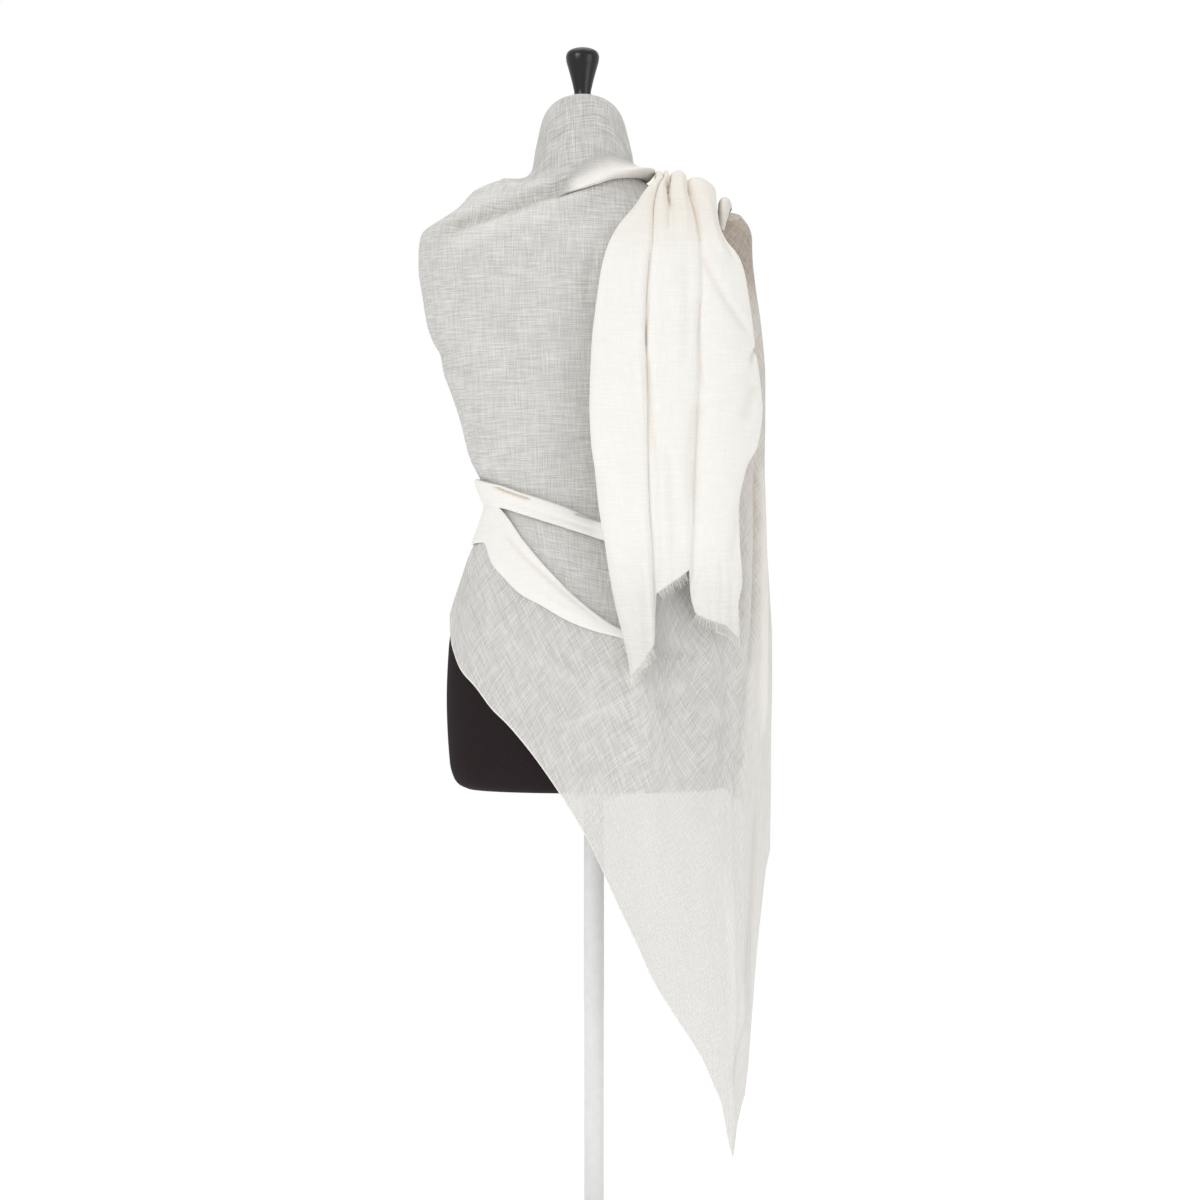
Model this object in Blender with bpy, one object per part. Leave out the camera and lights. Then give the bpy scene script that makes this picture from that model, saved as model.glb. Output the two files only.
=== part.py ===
"""Sheer wool shawl wound round a limbless dress form, on its pole and round foot.

Lengths are metres and +Z is up. The origin is the middle of the foot's underside. The back
of the form faces -Y, and +X is on the right for someone who looks at that back.
Heights named "height" are above a datum just under the form's lower edge. Cloth is a wall
worked out on a grid whose rows run upwards and whose columns run anticlockwise, seen from above.
"""
import math

import bpy
import numpy as np

# Stand
FORM_DATUM = 0.530          # where "height" is nought, above the floor
BASE_RADIUS = 0.170
BASE_THICK = 0.012
POLE_RADIUS = 0.0115
COLLAR_RADIUS = 0.024
COLLAR_HEIGHT = 0.030
SOCKET_RADIUS = 0.032
SOCKET_HEIGHT = 0.012

# Fits
TOUCH = 0.0003              # gap that pieces in contact keep
SEAT = 0.0012               # gap between the form and the cloth on it
WALL = 0.0015               # cloth
SECOND_SEAT = 0.0038        # second layer of cloth, off the form
BAND_SEAT = 0.0065          # folded bands that lie on two layers, off the form

# Form
LEAN = 0.0165               # the form leans to -X by this much for each metre of height
TORSO_POWER = 2.2           # 2 is an ellipse, more is squarer
FORM_TOP = 0.7985
COLUMN_ANGLE = 9.0          # degrees between the form's columns of points
FORM_SECTIONS = {
    "height":     (0.006, 0.010, 0.018, 0.036, 0.100, 0.168, 0.206, 0.243, 0.271, 0.292,
                   0.311, 0.331, 0.355, 0.385, 0.430, 0.461, 0.490, 0.508, 0.520, 0.540,
                   0.575, 0.600, 0.628, 0.640, 0.650, 0.659, 0.668, 0.678, 0.688, 0.700,
                   0.708, 0.715, 0.735, 0.755, 0.772, 0.785, 0.794, FORM_TOP),
    "half_width": (0.145, 0.154, 0.1605, 0.1650, 0.1675, 0.1640, 0.1570, 0.145, 0.135, 0.1255,
                   0.1175, 0.1130, 0.120, 0.133, 0.1440, 0.1535, 0.162, 0.1665, 0.173, 0.178,
                   0.183, 0.1865, 0.1862, 0.184, 0.172, 0.156, 0.133, 0.108, 0.084, 0.066,
                   0.0590, 0.0560, 0.0525, 0.0480, 0.0435, 0.0360, 0.0245, 0.0125),
    "back":       (0.090, 0.098, 0.104, 0.109, 0.113, 0.108, 0.101, 0.092, 0.087, 0.083,
                   0.080, 0.079, 0.080, 0.084, 0.090, 0.094, 0.097, 0.099, 0.100, 0.101,
                   0.102, 0.098, 0.089, 0.083, 0.077, 0.071, 0.065, 0.060, 0.056, 0.053,
                   0.0515, 0.0505, 0.0485, 0.0460, 0.0425, 0.0355, 0.0245, 0.0125),
    "front":      (0.084, 0.090, 0.094, 0.097, 0.098, 0.096, 0.094, 0.091, 0.089, 0.087,
                   0.085, 0.084, 0.086, 0.092, 0.104, 0.116, 0.123, 0.1235, 0.122, 0.117,
                   0.105, 0.096, 0.083, 0.077, 0.070, 0.064, 0.059, 0.055, 0.052, 0.051,
                   0.0508, 0.0505, 0.0495, 0.0470, 0.0430, 0.0355, 0.0245, 0.0125),
}
FORM_ROWS_LOW = (0.006, 0.009, 0.016, 0.036, 0.100, 0.168, 0.210, 0.250, 0.280, 0.308, 0.328)
FORM_ROWS_HIGH = 21         # rows from the waist to the top, shared with the cloth
WAIST_ROW = 0.345

# Knob on the neck, as radius at each height above the form's top
KNOB_PROFILE = {
    "height": (0.0035, 0.0070, 0.0150, 0.0250, 0.0340, 0.0430, 0.0475, 0.0520, 0.0560, 0.0580),
    "radius": (0.0095, 0.0097, 0.0113, 0.0138, 0.0163, 0.0187, 0.0191, 0.0178, 0.0128, 0.0050),
}
KNOB_COLLAR_RADIUS = 0.0122
KNOB_COLLAR_HEIGHT = 0.003

# Lower edge of the neck and back stretch, and the upper edge of the hip stretch, across the
# back from left to right and on round the right side and the far front to the left again
WRAP_LOWER_EDGE = {
    "angle":  (-180, -160, -144, -126, -108, -90, -78, -70, -63, -57, -51, -36, 0, 90, 180),
    "height": (0.283, 0.282, 0.270, 0.244, 0.216, 0.189, 0.176, 0.174, 0.184, 0.225, 0.268,
               0.285, 0.290, 0.300, 0.283),
}
HIP_UPPER_EDGE = {
    "angle":  (-180, -160, -144, -126, -108, -90, -78, -70, -64, -58, -52, -43, -33, 33, 48,
               66, 90, 120, 150, 162, 171, 180),
    "height": (0.291, 0.290, 0.280, 0.254, 0.226, 0.199, 0.186, 0.184, 0.205, 0.265, 0.380,
               0.530, 0.662, 0.662, 0.640, 0.590, 0.530, 0.455, 0.400, 0.375, 0.293, 0.291),
}
# Hem of the hip stretch: it runs down across the back to the corner and up the right side
HIP_HEM = {
    "angle":  (-180, -172, -163, -157, -148, -140, -133, -122, -108.5, -100, -90, -85, -75,
               -67, -61, -53, -44, -38, -34, -30.5, -28, -26, -24.5, -21, -18.7, -16.4, -11.8,
               -8.8, 0, 20, 50, 90, 140, 180),
    "height": (0.208, 0.197, 0.165, 0.144, 0.124, 0.100, 0.0835, 0.0525, 0.0093, -0.0195,
               -0.0561, -0.079, -0.125, -0.161, -0.192, -0.226, -0.263, -0.291, -0.319,
               -0.344, -0.385, -0.404, -0.366, -0.328, -0.259, -0.195, -0.117, -0.082,
               -0.058, -0.010, 0.060, 0.120, 0.170, 0.208),
}
# How far the hip stretch hangs from the form's middle: it drops from the shoulder past the
# waist on the right, over the bust in front, and straight down below the hips
HANG_SECTIONS = {
    "height": (-0.420, -0.200, -0.060, 0.000, 0.072, 0.125, 0.178, 0.231, 0.284, 0.337,
               0.430, 0.478, 0.537, 0.581, 0.616, 0.638, 0.649, 0.662),
    "right":  (0.2010, 0.2015, 0.2020, 0.2030, 0.2045, 0.2065, 0.2072, 0.2053, 0.2026, 0.2012,
               0.2036, 0.2044, 0.2006, 0.1950, 0.1920, 0.1918, 0.1890, 0.1800),
    "left":   (0.1000, 0.1000, 0.1000, 0.1000, 0.1000, 0.1200, 0.1450, 0.1500, 0.1400, 0.1275,
               0.1500, 0.1640, 0.1760, 0.1800, 0.1800, 0.1750, 0.1700, 0.1600),
    "back":   (0.1120, 0.1150, 0.1170, 0.1180, 0.1185, 0.1180, 0.1165, 0.1155, 0.1145, 0.1140,
               0.1145, 0.1150, 0.1140, 0.1110, 0.1040, 0.0970, 0.0900, 0.0800),
    "front":  (0.1000, 0.1020, 0.1040, 0.1060, 0.1070, 0.1080, 0.1090, 0.1110, 0.1150, 0.1210,
               0.1310, 0.1350, 0.1290, 0.1170, 0.1030, 0.0940, 0.0860, 0.0760),
}
HIP_LINE = 0.100            # the widest height, from which the cloth hangs free
HIP_ROWS = 16
HIP_CROWDING = 1.5          # rows lie closer towards the shoulder
HIP_CORNER = -26.0          # angle of the corner that the tail ends in
HIP_COLUMN_ANGLE = 4.5      # degrees between columns on the right, where it hangs in folds
SIDE_PLEAT_DEPTH = 0.008    # soft upright folds down the right side
SIDE_PLEATS = 3

# Bands round the waist: where each runs, its half height and how thick its folds are
UPPER_BAND = {
    "angle":       (-192, -180, -150, -138, -125, -108, -92, -80, -60, -38),
    "height":      (0.346, 0.346, 0.338, 0.331, 0.3237, 0.3145, 0.305, 0.298, 0.289, 0.281),
    "half_height": (0.011, 0.0150, 0.0130, 0.0120, 0.0120, 0.0118, 0.0105, 0.010, 0.010, 0.007),
    "thick":       (0.002, 0.0050, 0.0055, 0.0055, 0.0050, 0.0050, 0.0050, 0.0050, 0.0050, 0.002),
}
LOWER_BAND = {
    "angle":       (-192, -180, -160, -147, -132, -118, -103, -90, -77, -67),
    "height":      (0.3130, 0.3130, 0.3010, 0.289, 0.262, 0.240, 0.2155, 0.197, 0.179, 0.176),
    "half_height": (0.0080, 0.0145, 0.0250, 0.032, 0.0305, 0.0220, 0.0140, 0.009, 0.0055, 0.004),
    "thick":       (0.002, 0.0030, 0.0030, 0.003, 0.0030, 0.0030, 0.0035, 0.0035, 0.003, 0.002),
}
BAND_SECTION = {            # round a band: share of its half height, share of its thickness
    "up":  (-1.0, -0.75, -0.25, 0.25, 0.75, 1.0, 0.40, -0.40),
    "out": (0.0, 0.80, 1.0, 1.0, 0.80, 0.0, 0.0, 0.0),
}
BAND_STEP = 4.5             # degrees between a band's sections

# Shoulder end: the way its middle runs, up the front, over the shoulder and down the back
END_PATH = {
    "depth":  (-0.1130, -0.1040, -0.0880, -0.0640, -0.0360, -0.0060, 0.0240, 0.0500, 0.0730,
               0.0930, 0.1110, 0.1195, 0.1235, 0.1240),
    "height": (0.6000, 0.6360, 0.6650, 0.6860, 0.6980, 0.7020, 0.6970, 0.6860, 0.6680,
               0.6420, 0.6000, 0.5600, 0.5000, 0.1000),
}
END_TOP_ROWS = 10           # rows over the shoulder, down to END_HANG
END_HANG = 0.560
END_HANG_ROWS = 11
END_LEVEL_X = 0.078         # right of this the shoulder falls away
END_FALL = 5.0              # fall of the shoulder, per square of the distance
END_HALF_WIDTH = 0.212      # plan curve that the hanging end follows
# Lines down the end at each height: fold edges, crowns and valleys of the three pleats
END_LINES = {
    "height":   (0.1330, 0.1450, 0.1840, 0.2165, 0.2417, 0.2889, 0.3218, 0.3678, 0.3974,
                 0.4347, 0.5016, 0.5550, 0.5900, 0.6120, 0.6310, 0.6540, 0.6800, 0.6900),
    "left":     (0.0398, 0.0387, 0.0310, 0.0233, 0.0184, 0.0113, 0.0058, 0.0009, -0.0030,
                 -0.0045, -0.0023, 0.0036, 0.0091, 0.0154, 0.0246, 0.0420, 0.0610, 0.0700),
    "valley_1": (0.0663, 0.0663, 0.0661, 0.0650, 0.0635, 0.0615, 0.0592, 0.0578, 0.0573,
                 0.0573, 0.0562, 0.0595, 0.0620, 0.0640, 0.0650, 0.0665, 0.0730, 0.0790),
    "valley_2": (0.1000, 0.1000, 0.1005, 0.1015, 0.1035, 0.1050, 0.1065, 0.1080, 0.1095,
                 0.1105, 0.1117, 0.1150, 0.1160, 0.1160, 0.1145, 0.1110, 0.1050, 0.1050),
    "right":    (0.1555, 0.1555, 0.1555, 0.1545, 0.1585, 0.1560, 0.1560, 0.1640, 0.1755,
                 0.1800, 0.1735, 0.1680, 0.1630, 0.1555, 0.1450, 0.1375, 0.1345, 0.1345),
    "fullness": (0.0200, 0.0200, 0.0200, 0.0200, 0.0200, 0.0200, 0.0200, 0.0200, 0.0200,
                 0.0200, 0.0180, 0.0155, 0.0135, 0.0120, 0.0115, 0.0115, 0.0115, 0.0115),
}
END_TURNED = 0.022          # width that is turned under at either side
# How far each fold line stands off, as a share of the fullness: turned edge, fold edge,
# crown, valley and so on across; the middle valley is deep on the shoulder only
END_STANDS = (0.10, 0.50, 1.00, 0.20, 0.85, 0.92, 0.85, 0.28, 0.95, 0.50, 0.10)
END_MIDDLE_VALLEY = 5
END_MIDDLE_STAND = 0.15     # its share on the shoulder
END_STEPS = 3               # columns from one line to the next
END_HEM = {
    "line":   (0.0, 1.0, 2.0, 2.8, 3.2, 5.0, 6.7, 7.3, 7.7, 8.3, 8.6, 9.0, 10.0),
    "height": (0.150, 0.1335, 0.153, 0.1735, 0.2290, 0.2418, 0.2550, 0.2070, 0.2000, 0.1934,
               0.1820, 0.1758, 0.186),
}

# Fringe on the hems of the pleats
FRINGE_SPANS = {"from": (1.05, 3.35, 7.34), "to": (2.65, 6.30, 8.95)}
FRINGE_PITCH = 0.0021
FRINGE_LENGTH = 0.0085
FRINGE_STRIP = 0.0022
FRINGE_THICK = 0.0010

# The turned fold round the neck: where its middle runs over the rows of the neck stretch, how
# many rows it covers to either side, and how high it stands
NECK_ROLL = {
    "angle": (-135, -122, -108, -90, -72, -54, -36, -18, 0, 20, 36),
    "row":   (12.2, 13.2, 14.2, 14.9, 15.5, 15.85, 15.95, 15.95, 15.95, 16.0, 16.1),
    "half":  (0.20, 0.35, 0.45, 0.50, 0.50, 0.50, 0.48, 0.45, 0.42, 0.40, 0.30),
    "rise":  (0.003, 0.005, 0.0065, 0.008, 0.009, 0.011, 0.013, 0.015, 0.015, 0.012, 0.006),
}
NECK_ROLL_SPOKES = 8
# The small fold gathered up at the right of the shoulder, as an arch of cloth along a line:
# the middle of the foot of each section, half the width between the feet, and the rise
SHOULDER_TUCK = {
    "x":      (0.1510, 0.1500, 0.1490, 0.1470),
    "y":      (0.0120, -0.0100, -0.0320, -0.0560),
    "height": (0.6665, 0.6690, 0.6690, 0.6590),
    "half":   (0.0040, 0.0075, 0.0070, 0.0030),
    "rise":   (0.0040, 0.0110, 0.0100, 0.0030),
}

# Soft folds of the neck and back stretch: a straight line each, how wide and how high
WRAP_FOLDS = {
    "x1":     (-0.126, 0.020, -0.060, 0.030, -0.150, -0.125, -0.060, -0.120, -0.188),
    "y1":     (-0.004, -0.062, -0.072, -0.088, -0.060, -0.050, 0.066, 0.050, -0.010),
    "h1":     (0.674, 0.684, 0.664, 0.648, 0.470, 0.420, 0.676, 0.664, 0.530),
    "x2":     (-0.100, -0.060, -0.165, -0.110, -0.105, -0.060, 0.060, -0.080, -0.192),
    "y2":     (-0.012, -0.072, -0.050, -0.094, -0.070, -0.080, 0.060, 0.100, -0.010),
    "h2":     (0.688, 0.664, 0.640, 0.612, 0.385, 0.370, 0.676, 0.560, 0.610),
    "width":  (0.022, 0.013, 0.014, 0.016, 0.018, 0.014, 0.016, 0.018, 0.026),
    "rise":   (0.0150, 0.0050, 0.0045, 0.0030, 0.0030, 0.0020, 0.0050, 0.0040, 0.0020),
}

FINISHES = {                # colour, roughness, metallic
    "gauze": ((0.80, 0.78, 0.73), 0.90, 0.0),
    "jersey": ((0.020, 0.015, 0.017), 0.85, 0.0),
    "black_lacquer": ((0.008, 0.008, 0.008), 0.15, 0.0),
    "white_lacquer": ((0.85, 0.85, 0.84), 0.35, 0.0),
}


def monotone(knots, values, at):
    """Cubic through the knots that doesn't overshoot them; held level past both ends."""
    knots, values = np.asarray(knots, float), np.asarray(values, float)
    step = np.diff(knots)
    rise = np.diff(values) / step
    slope = np.zeros_like(values)
    level = rise[1:] * rise[:-1] <= 0
    first, second = 2 * step[1:] + step[:-1], step[1:] + 2 * step[:-1]
    before, after = np.where(level, 1.0, rise[:-1]), np.where(level, 1.0, rise[1:])
    slope[1:-1] = np.where(level, 0.0, (first + second) / (first / before + second / after))
    slope[0], slope[-1] = rise[0], rise[-1]
    at = np.clip(at, knots[0], knots[-1])
    i = np.clip(np.searchsorted(knots, at) - 1, 0, len(knots) - 2)
    t = (at - knots[i]) / step[i]
    return ((1 + 2 * t) * (1 - t) ** 2 * values[i] + t * (1 - t) ** 2 * step[i] * slope[i]
            + t * t * (3 - 2 * t) * values[i + 1] - t * t * (1 - t) * step[i] * slope[i + 1])


def read(table, key, name, at):
    """Column `name` of a table, read at `at` along its column `key`."""
    return monotone(table[key], table[name], at)


def ease(low, high, at):
    """0 below low, 1 above high, smooth between."""
    t = np.clip((at - low) / (high - low), 0, 1)
    return t * t * (3 - 2 * t)


def oval(angle, right, left, back, front):
    """Radius of a superellipse whose four half axes differ."""
    c, s = np.cos(angle), np.sin(angle)
    half_x = np.where(c >= 0, right, left)
    half_y = np.where(s >= 0, front, back)
    total = np.abs(c / half_x) ** TORSO_POWER + np.abs(s / half_y) ** TORSO_POWER
    return total ** (-1 / TORSO_POWER)


def form_radius(angle, height):
    """The form's radius."""
    wide = read(FORM_SECTIONS, "height", "half_width", height)
    return oval(angle, wide, wide, read(FORM_SECTIONS, "height", "back", height),
                read(FORM_SECTIONS, "height", "front", height))


def place(angle, radius, height):
    """Point of the leaning form's axes, in world metres."""
    angle, radius, height = np.broadcast_arrays(angle, radius, height)
    shift = LEAN * np.maximum(height, 0)
    return np.stack((radius * np.cos(angle) - shift, radius * np.sin(angle), FORM_DATUM + height), -1)


def unit(vectors):
    """Vectors of length one."""
    return vectors / np.linalg.norm(vectors, axis=-1, keepdims=True)


def outward(sheet, closed):
    """Normals of a grid of points, from its neighbours across and up."""
    if closed:
        across = np.roll(sheet, -1, axis=1) - np.roll(sheet, 1, axis=1)
    else:
        across = np.gradient(sheet, axis=1)
    return unit(np.cross(across, np.gradient(sheet, axis=0)))


def profile_rows(low, high, count):
    """Heights whose rows lie evenly along the form's side."""
    fine = np.linspace(low, high, 400)
    wide = read(FORM_SECTIONS, "height", "half_width", fine)
    length = np.concatenate(([0], np.cumsum(np.hypot(np.diff(fine), np.diff(wide)))))
    return np.interp(np.linspace(0, length[-1], count), length, fine)


def finish(name):
    """Material of one of the finishes, made once."""
    if name in bpy.data.materials:
        return bpy.data.materials[name]
    colour, roughness, metallic = FINISHES[name]
    material = bpy.data.materials.new(name)
    material.use_nodes = True
    shader = material.node_tree.nodes["Principled BSDF"]
    shader.inputs["Base Color"].default_value = (*colour, 1)
    shader.inputs["Roughness"].default_value = roughness
    shader.inputs["Metallic"].default_value = metallic
    material.diffuse_color = (*colour, 1)
    return material


def add_piece(name, points, faces, finish_name):
    """Object from points and faces, faces out and shaded smooth but for its edges."""
    points = np.asarray(points, float)
    mesh = bpy.data.meshes.new(name)
    mesh.from_pydata(points.tolist(), [], faces)
    fans = [(face[0], face[k], face[k + 1]) for face in faces for k in range(1, len(face) - 1)]
    corners = (points - points.mean(0))[np.array(fans)]
    if np.sum(corners[:, 0] * np.cross(corners[:, 1], corners[:, 2])) < 0:
        mesh.flip_normals()
    mesh.shade_smooth()
    mesh.set_sharp_from_angle(angle=math.radians(40))
    piece_finish = finish(finish_name).copy()
    piece_finish.name = name
    mesh.materials.append(piece_finish)
    piece = bpy.data.objects.new(name, mesh)
    bpy.context.collection.objects.link(piece)
    return piece


def split(quads):
    """Two triangles of each quad, always along the same diagonal."""
    quads = np.asarray(quads)
    return np.concatenate((quads[:, [0, 1, 2]], quads[:, [0, 2, 3]])).tolist()


def strip_quads(first, second, closed=False):
    """Quads between two rows of point numbers."""
    if closed:
        first, second = np.append(first, first[0]), np.append(second, second[0])
    return np.stack((first[:-1], first[1:], second[1:], second[:-1]), -1)


def wall_piece(name, inner, closed, finish_name="gauze", wall=WALL):
    """Cloth: a wall from the inner grid outwards, with its rims closed."""
    rows, columns = inner.shape[:2]
    outer = inner + outward(inner, closed) * wall
    inside = np.arange(rows * columns).reshape(rows, columns)
    outside = inside + rows * columns
    faces = split(np.concatenate([strip_quads(outside[i], outside[i + 1], closed) for i in range(rows - 1)]))
    faces += [[a - rows * columns, c - rows * columns, b - rows * columns] for a, b, c in faces]
    rims = [strip_quads(inside[0], outside[0], closed), strip_quads(outside[-1], inside[-1], closed)]
    if not closed:
        rims += [strip_quads(outside[:, 0], inside[:, 0]), strip_quads(inside[:, -1], outside[:, -1])]
    points = np.concatenate((inner.reshape(-1, 3), outer.reshape(-1, 3)))
    return add_piece(name, points, faces + split(np.concatenate(rims)), finish_name)


def ring_piece(name, rings, finish_name):
    """Solid through closed rings of points, lowest first, with flat ends."""
    rows, columns = rings.shape[:2]
    index = np.arange(rows * columns).reshape(rows, columns)
    faces = split(np.concatenate([strip_quads(index[i], index[i + 1], True) for i in range(rows - 1)]))
    faces += [index[0][::-1].tolist(), index[-1].tolist()]
    return add_piece(name, rings.reshape(-1, 3), faces, finish_name)


def turned_piece(name, radii, heights, finish_name, sides=32, middle_x=0.0):
    """Turned solid about an upright axis."""
    angle = np.radians(np.arange(sides) * 360 / sides)
    radii, heights = np.asarray(radii)[:, None], np.asarray(heights)[:, None]
    ring = np.broadcast_arrays(middle_x + radii * np.cos(angle), radii * np.sin(angle), heights)
    return ring_piece(name, np.stack(ring, -1), finish_name)


def form_angles():
    """Angles of the form's columns."""
    return np.radians(np.arange(-180, 180, COLUMN_ANGLE))


def shared_rows():
    """Heights of the rows that the form and the cloth on it share."""
    return profile_rows(WAIST_ROW, FORM_TOP, FORM_ROWS_HIGH)


def build_form():
    """The limbless form, smooth and closed."""
    heights = np.concatenate((FORM_ROWS_LOW, shared_rows()))
    angle, height = np.meshgrid(form_angles(), heights)
    ring_piece("form_body", place(angle, form_radius(angle, height), height), "jersey")


def build_stand():
    """Round foot, pole, its two collars, and the knob on the neck."""
    edge = 0.003
    turned_piece("base_plate", (BASE_RADIUS, BASE_RADIUS, BASE_RADIUS - edge, BASE_RADIUS - 3 * edge),
                 (0, BASE_THICK - edge, BASE_THICK - 0.3 * edge, BASE_THICK), "white_lacquer", 48)
    collar = BASE_THICK + TOUCH
    turned_piece("pole_collar", (COLLAR_RADIUS, COLLAR_RADIUS, POLE_RADIUS + edge, POLE_RADIUS + edge),
                 (collar, collar + 2 * edge, collar + 4 * edge, collar + COLLAR_HEIGHT), "white_lacquer")
    socket = FORM_DATUM + FORM_ROWS_LOW[0] - TOUCH - SOCKET_HEIGHT
    turned_piece("pole", (POLE_RADIUS, POLE_RADIUS), (collar + COLLAR_HEIGHT + TOUCH, socket - TOUCH),
                 "white_lacquer", 24)
    turned_piece("pole_socket", (SOCKET_RADIUS - 2 * edge, SOCKET_RADIUS, SOCKET_RADIUS),
                 (socket, socket + 2 * edge, socket + SOCKET_HEIGHT), "white_lacquer")
    top = FORM_DATUM + FORM_TOP
    middle = -LEAN * FORM_TOP
    collar = top + TOUCH
    turned_piece("knob_collar", (KNOB_COLLAR_RADIUS, KNOB_COLLAR_RADIUS),
                 (collar, collar + KNOB_COLLAR_HEIGHT - TOUCH), "black_lacquer", 24, middle)
    heights = top + TOUCH + np.asarray(KNOB_PROFILE["height"])
    turned_piece("neck_knob", KNOB_PROFILE["radius"], heights, "black_lacquer", 24, middle)


def fold_rise(points, folds):
    """Height of soft folds at points: each falls off from its line like a bell."""
    total = np.zeros(points.shape[:-1])
    for x1, y1, h1, x2, y2, h2, width, rise in zip(*folds.values()):
        start = np.array((x1, y1, FORM_DATUM + h1))
        line = np.array((x2, y2, FORM_DATUM + h2)) - start
        along = np.clip((points - start) @ line / (line @ line), 0, 1)
        apart = np.linalg.norm(points - start - along[..., None] * line, axis=-1)
        total += rise * np.exp(-(apart / width) ** 2)
    return total


def build_wrap():
    """Neck, shoulder, back and front stretch, a tube that follows the form."""
    angles = form_angles()
    lower = read(WRAP_LOWER_EDGE, "angle", "height", np.degrees(angles))
    high = shared_rows()[:-1]
    low = lower + (WAIST_ROW - lower) * np.linspace(0, 1, 5)[:-1, None]
    height = np.concatenate((low, np.repeat(high[:, None], len(angles), 1)))
    angle = np.repeat(angles[None], len(height), 0)
    skin = place(angle, form_radius(angle, height), height)
    stand = SEAT + fold_rise(skin, WRAP_FOLDS)
    inner = skin + outward(skin, True) * stand[..., None]
    wall_piece("back_and_neck_wrap", inner, True)
    build_neck_roll((inner + outward(inner, True) * WALL)[len(low):])


def build_neck_roll(sheet):
    """The turned fold: an arch that follows the outer face of the neck stretch."""
    degrees = np.arange(NECK_ROLL["angle"][0], NECK_ROLL["angle"][-1] + 1, COLUMN_ANGLE)
    column = np.rint((degrees + 180) / COLUMN_ANGLE).astype(int)
    middle, half, rise = (read(NECK_ROLL, "angle", name, degrees) for name in ("row", "half", "rise"))
    sweep = np.radians(np.linspace(-90, 90, NECK_ROLL_SPOKES))[:, None]
    row = middle + half * np.sin(sweep)
    below = row.astype(int)
    share = (row - below)[..., None]
    normals = outward(sheet, True)
    foot = sheet[below, column] * (1 - share) + sheet[below + 1, column] * share
    normal = unit(normals[below, column] * (1 - share) + normals[below + 1, column] * share)
    wall_piece("neck_roll", foot + normal * (SEAT + rise * np.cos(sweep))[..., None], False)


def hip_radius(angle, height):
    """Radius of the hip stretch: snug on the back, hanging clear on the right and in front."""
    snug = form_radius(angle, np.maximum(height, HIP_LINE)) + SECOND_SEAT
    hang = oval(angle, *(read(HANG_SECTIONS, "height", side, height)
                         for side in ("right", "left", "back", "front")))
    degrees = np.degrees(angle)
    share = ease(-88, -58, degrees) * (1 - ease(169, 180, degrees))
    clear = np.maximum(hang - snug, 0) * share
    side = ease(-62, -40, degrees) * (1 - ease(40, 62, degrees))
    wave = (np.cos(SIDE_PLEATS * 2 * angle) - 1) / 2
    pleats = SIDE_PLEAT_DEPTH * wave * side * (1 - ease(0.50, 0.62, height)) * ease(-0.30, 0.05, height)
    return snug + clear + pleats * ease(0, 0.015, clear)


def build_hip():
    """Hip stretch: a tube with an upper edge that rises to the right shoulder, and the tail."""
    degrees = np.concatenate((np.arange(-180, -92, COLUMN_ANGLE),
                              np.arange(HIP_CORNER - 14 * HIP_COLUMN_ANGLE, 60, HIP_COLUMN_ANGLE),
                              np.arange(63, 180, COLUMN_ANGLE)))
    top = read(HIP_UPPER_EDGE, "angle", "height", degrees)
    hem = read(HIP_HEM, "angle", "height", degrees)
    share = 1 - (1 - np.linspace(0, 1, HIP_ROWS)) ** HIP_CROWDING
    height = hem + (top - hem) * share[:, None]
    angle = np.repeat(np.radians(degrees)[None], HIP_ROWS, 0)
    wall_piece("hip_wrap_with_tail", place(angle, hip_radius(angle, height), height), True)


def build_band(name, table, seat):
    """A folded band: a closed solid swept round the waist on what lies under it."""
    count = int((table["angle"][-1] - table["angle"][0]) / BAND_STEP) + 1
    degrees = np.linspace(table["angle"][0], table["angle"][-1], count)[:, None]
    middle, half, thick = (read(table, "angle", column, degrees)
                           for column in ("height", "half_height", "thick"))
    height = middle + half * np.array(BAND_SECTION["up"])
    angle = np.radians(degrees) + 0 * height
    under = np.where(degrees < -170, 0, hip_radius(angle, height) + WALL + SEAT) * ease(-110, -92, degrees)
    radius = np.maximum(form_radius(angle, height) + seat, under) + thick * np.array(BAND_SECTION["out"])
    ring_piece(name, place(angle, radius, height), "gauze")


def path_lengths():
    """Length of the shoulder end's path up to each of its points."""
    steps = np.hypot(np.diff(END_PATH["depth"]), np.diff(END_PATH["height"]))
    return np.concatenate(([0], np.cumsum(steps)))


def end_guide(x, along):
    """Point on the plain surface that the shoulder end follows, before its pleats.

    along is the length of the path from its front end; x is across the shoulder.
    """
    depth = monotone(path_lengths(), END_PATH["depth"], along)
    height = monotone(path_lengths(), END_PATH["height"], along)
    on_top = ease(0.600, 0.690, height)
    height = height - END_FALL * np.maximum(x - END_LEVEL_X, 0) ** 2 * on_top
    across = np.clip(np.abs(x + LEAN * height) / END_HALF_WIDTH, 0, 0.98) ** TORSO_POWER
    curved = depth * (1 - across) ** (1 / TORSO_POWER)
    depth = depth * on_top + curved * (1 - on_top)
    return np.stack(np.broadcast_arrays(x, -depth, FORM_DATUM + height), -1)


def path_length_at(height):
    """Length of the shoulder end's path where it passes a height on the back."""
    crest = int(np.argmax(END_PATH["height"]))
    back = np.array(END_PATH["height"][crest:])
    return np.interp(-np.asarray(height), -back, path_lengths()[crest:])


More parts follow.
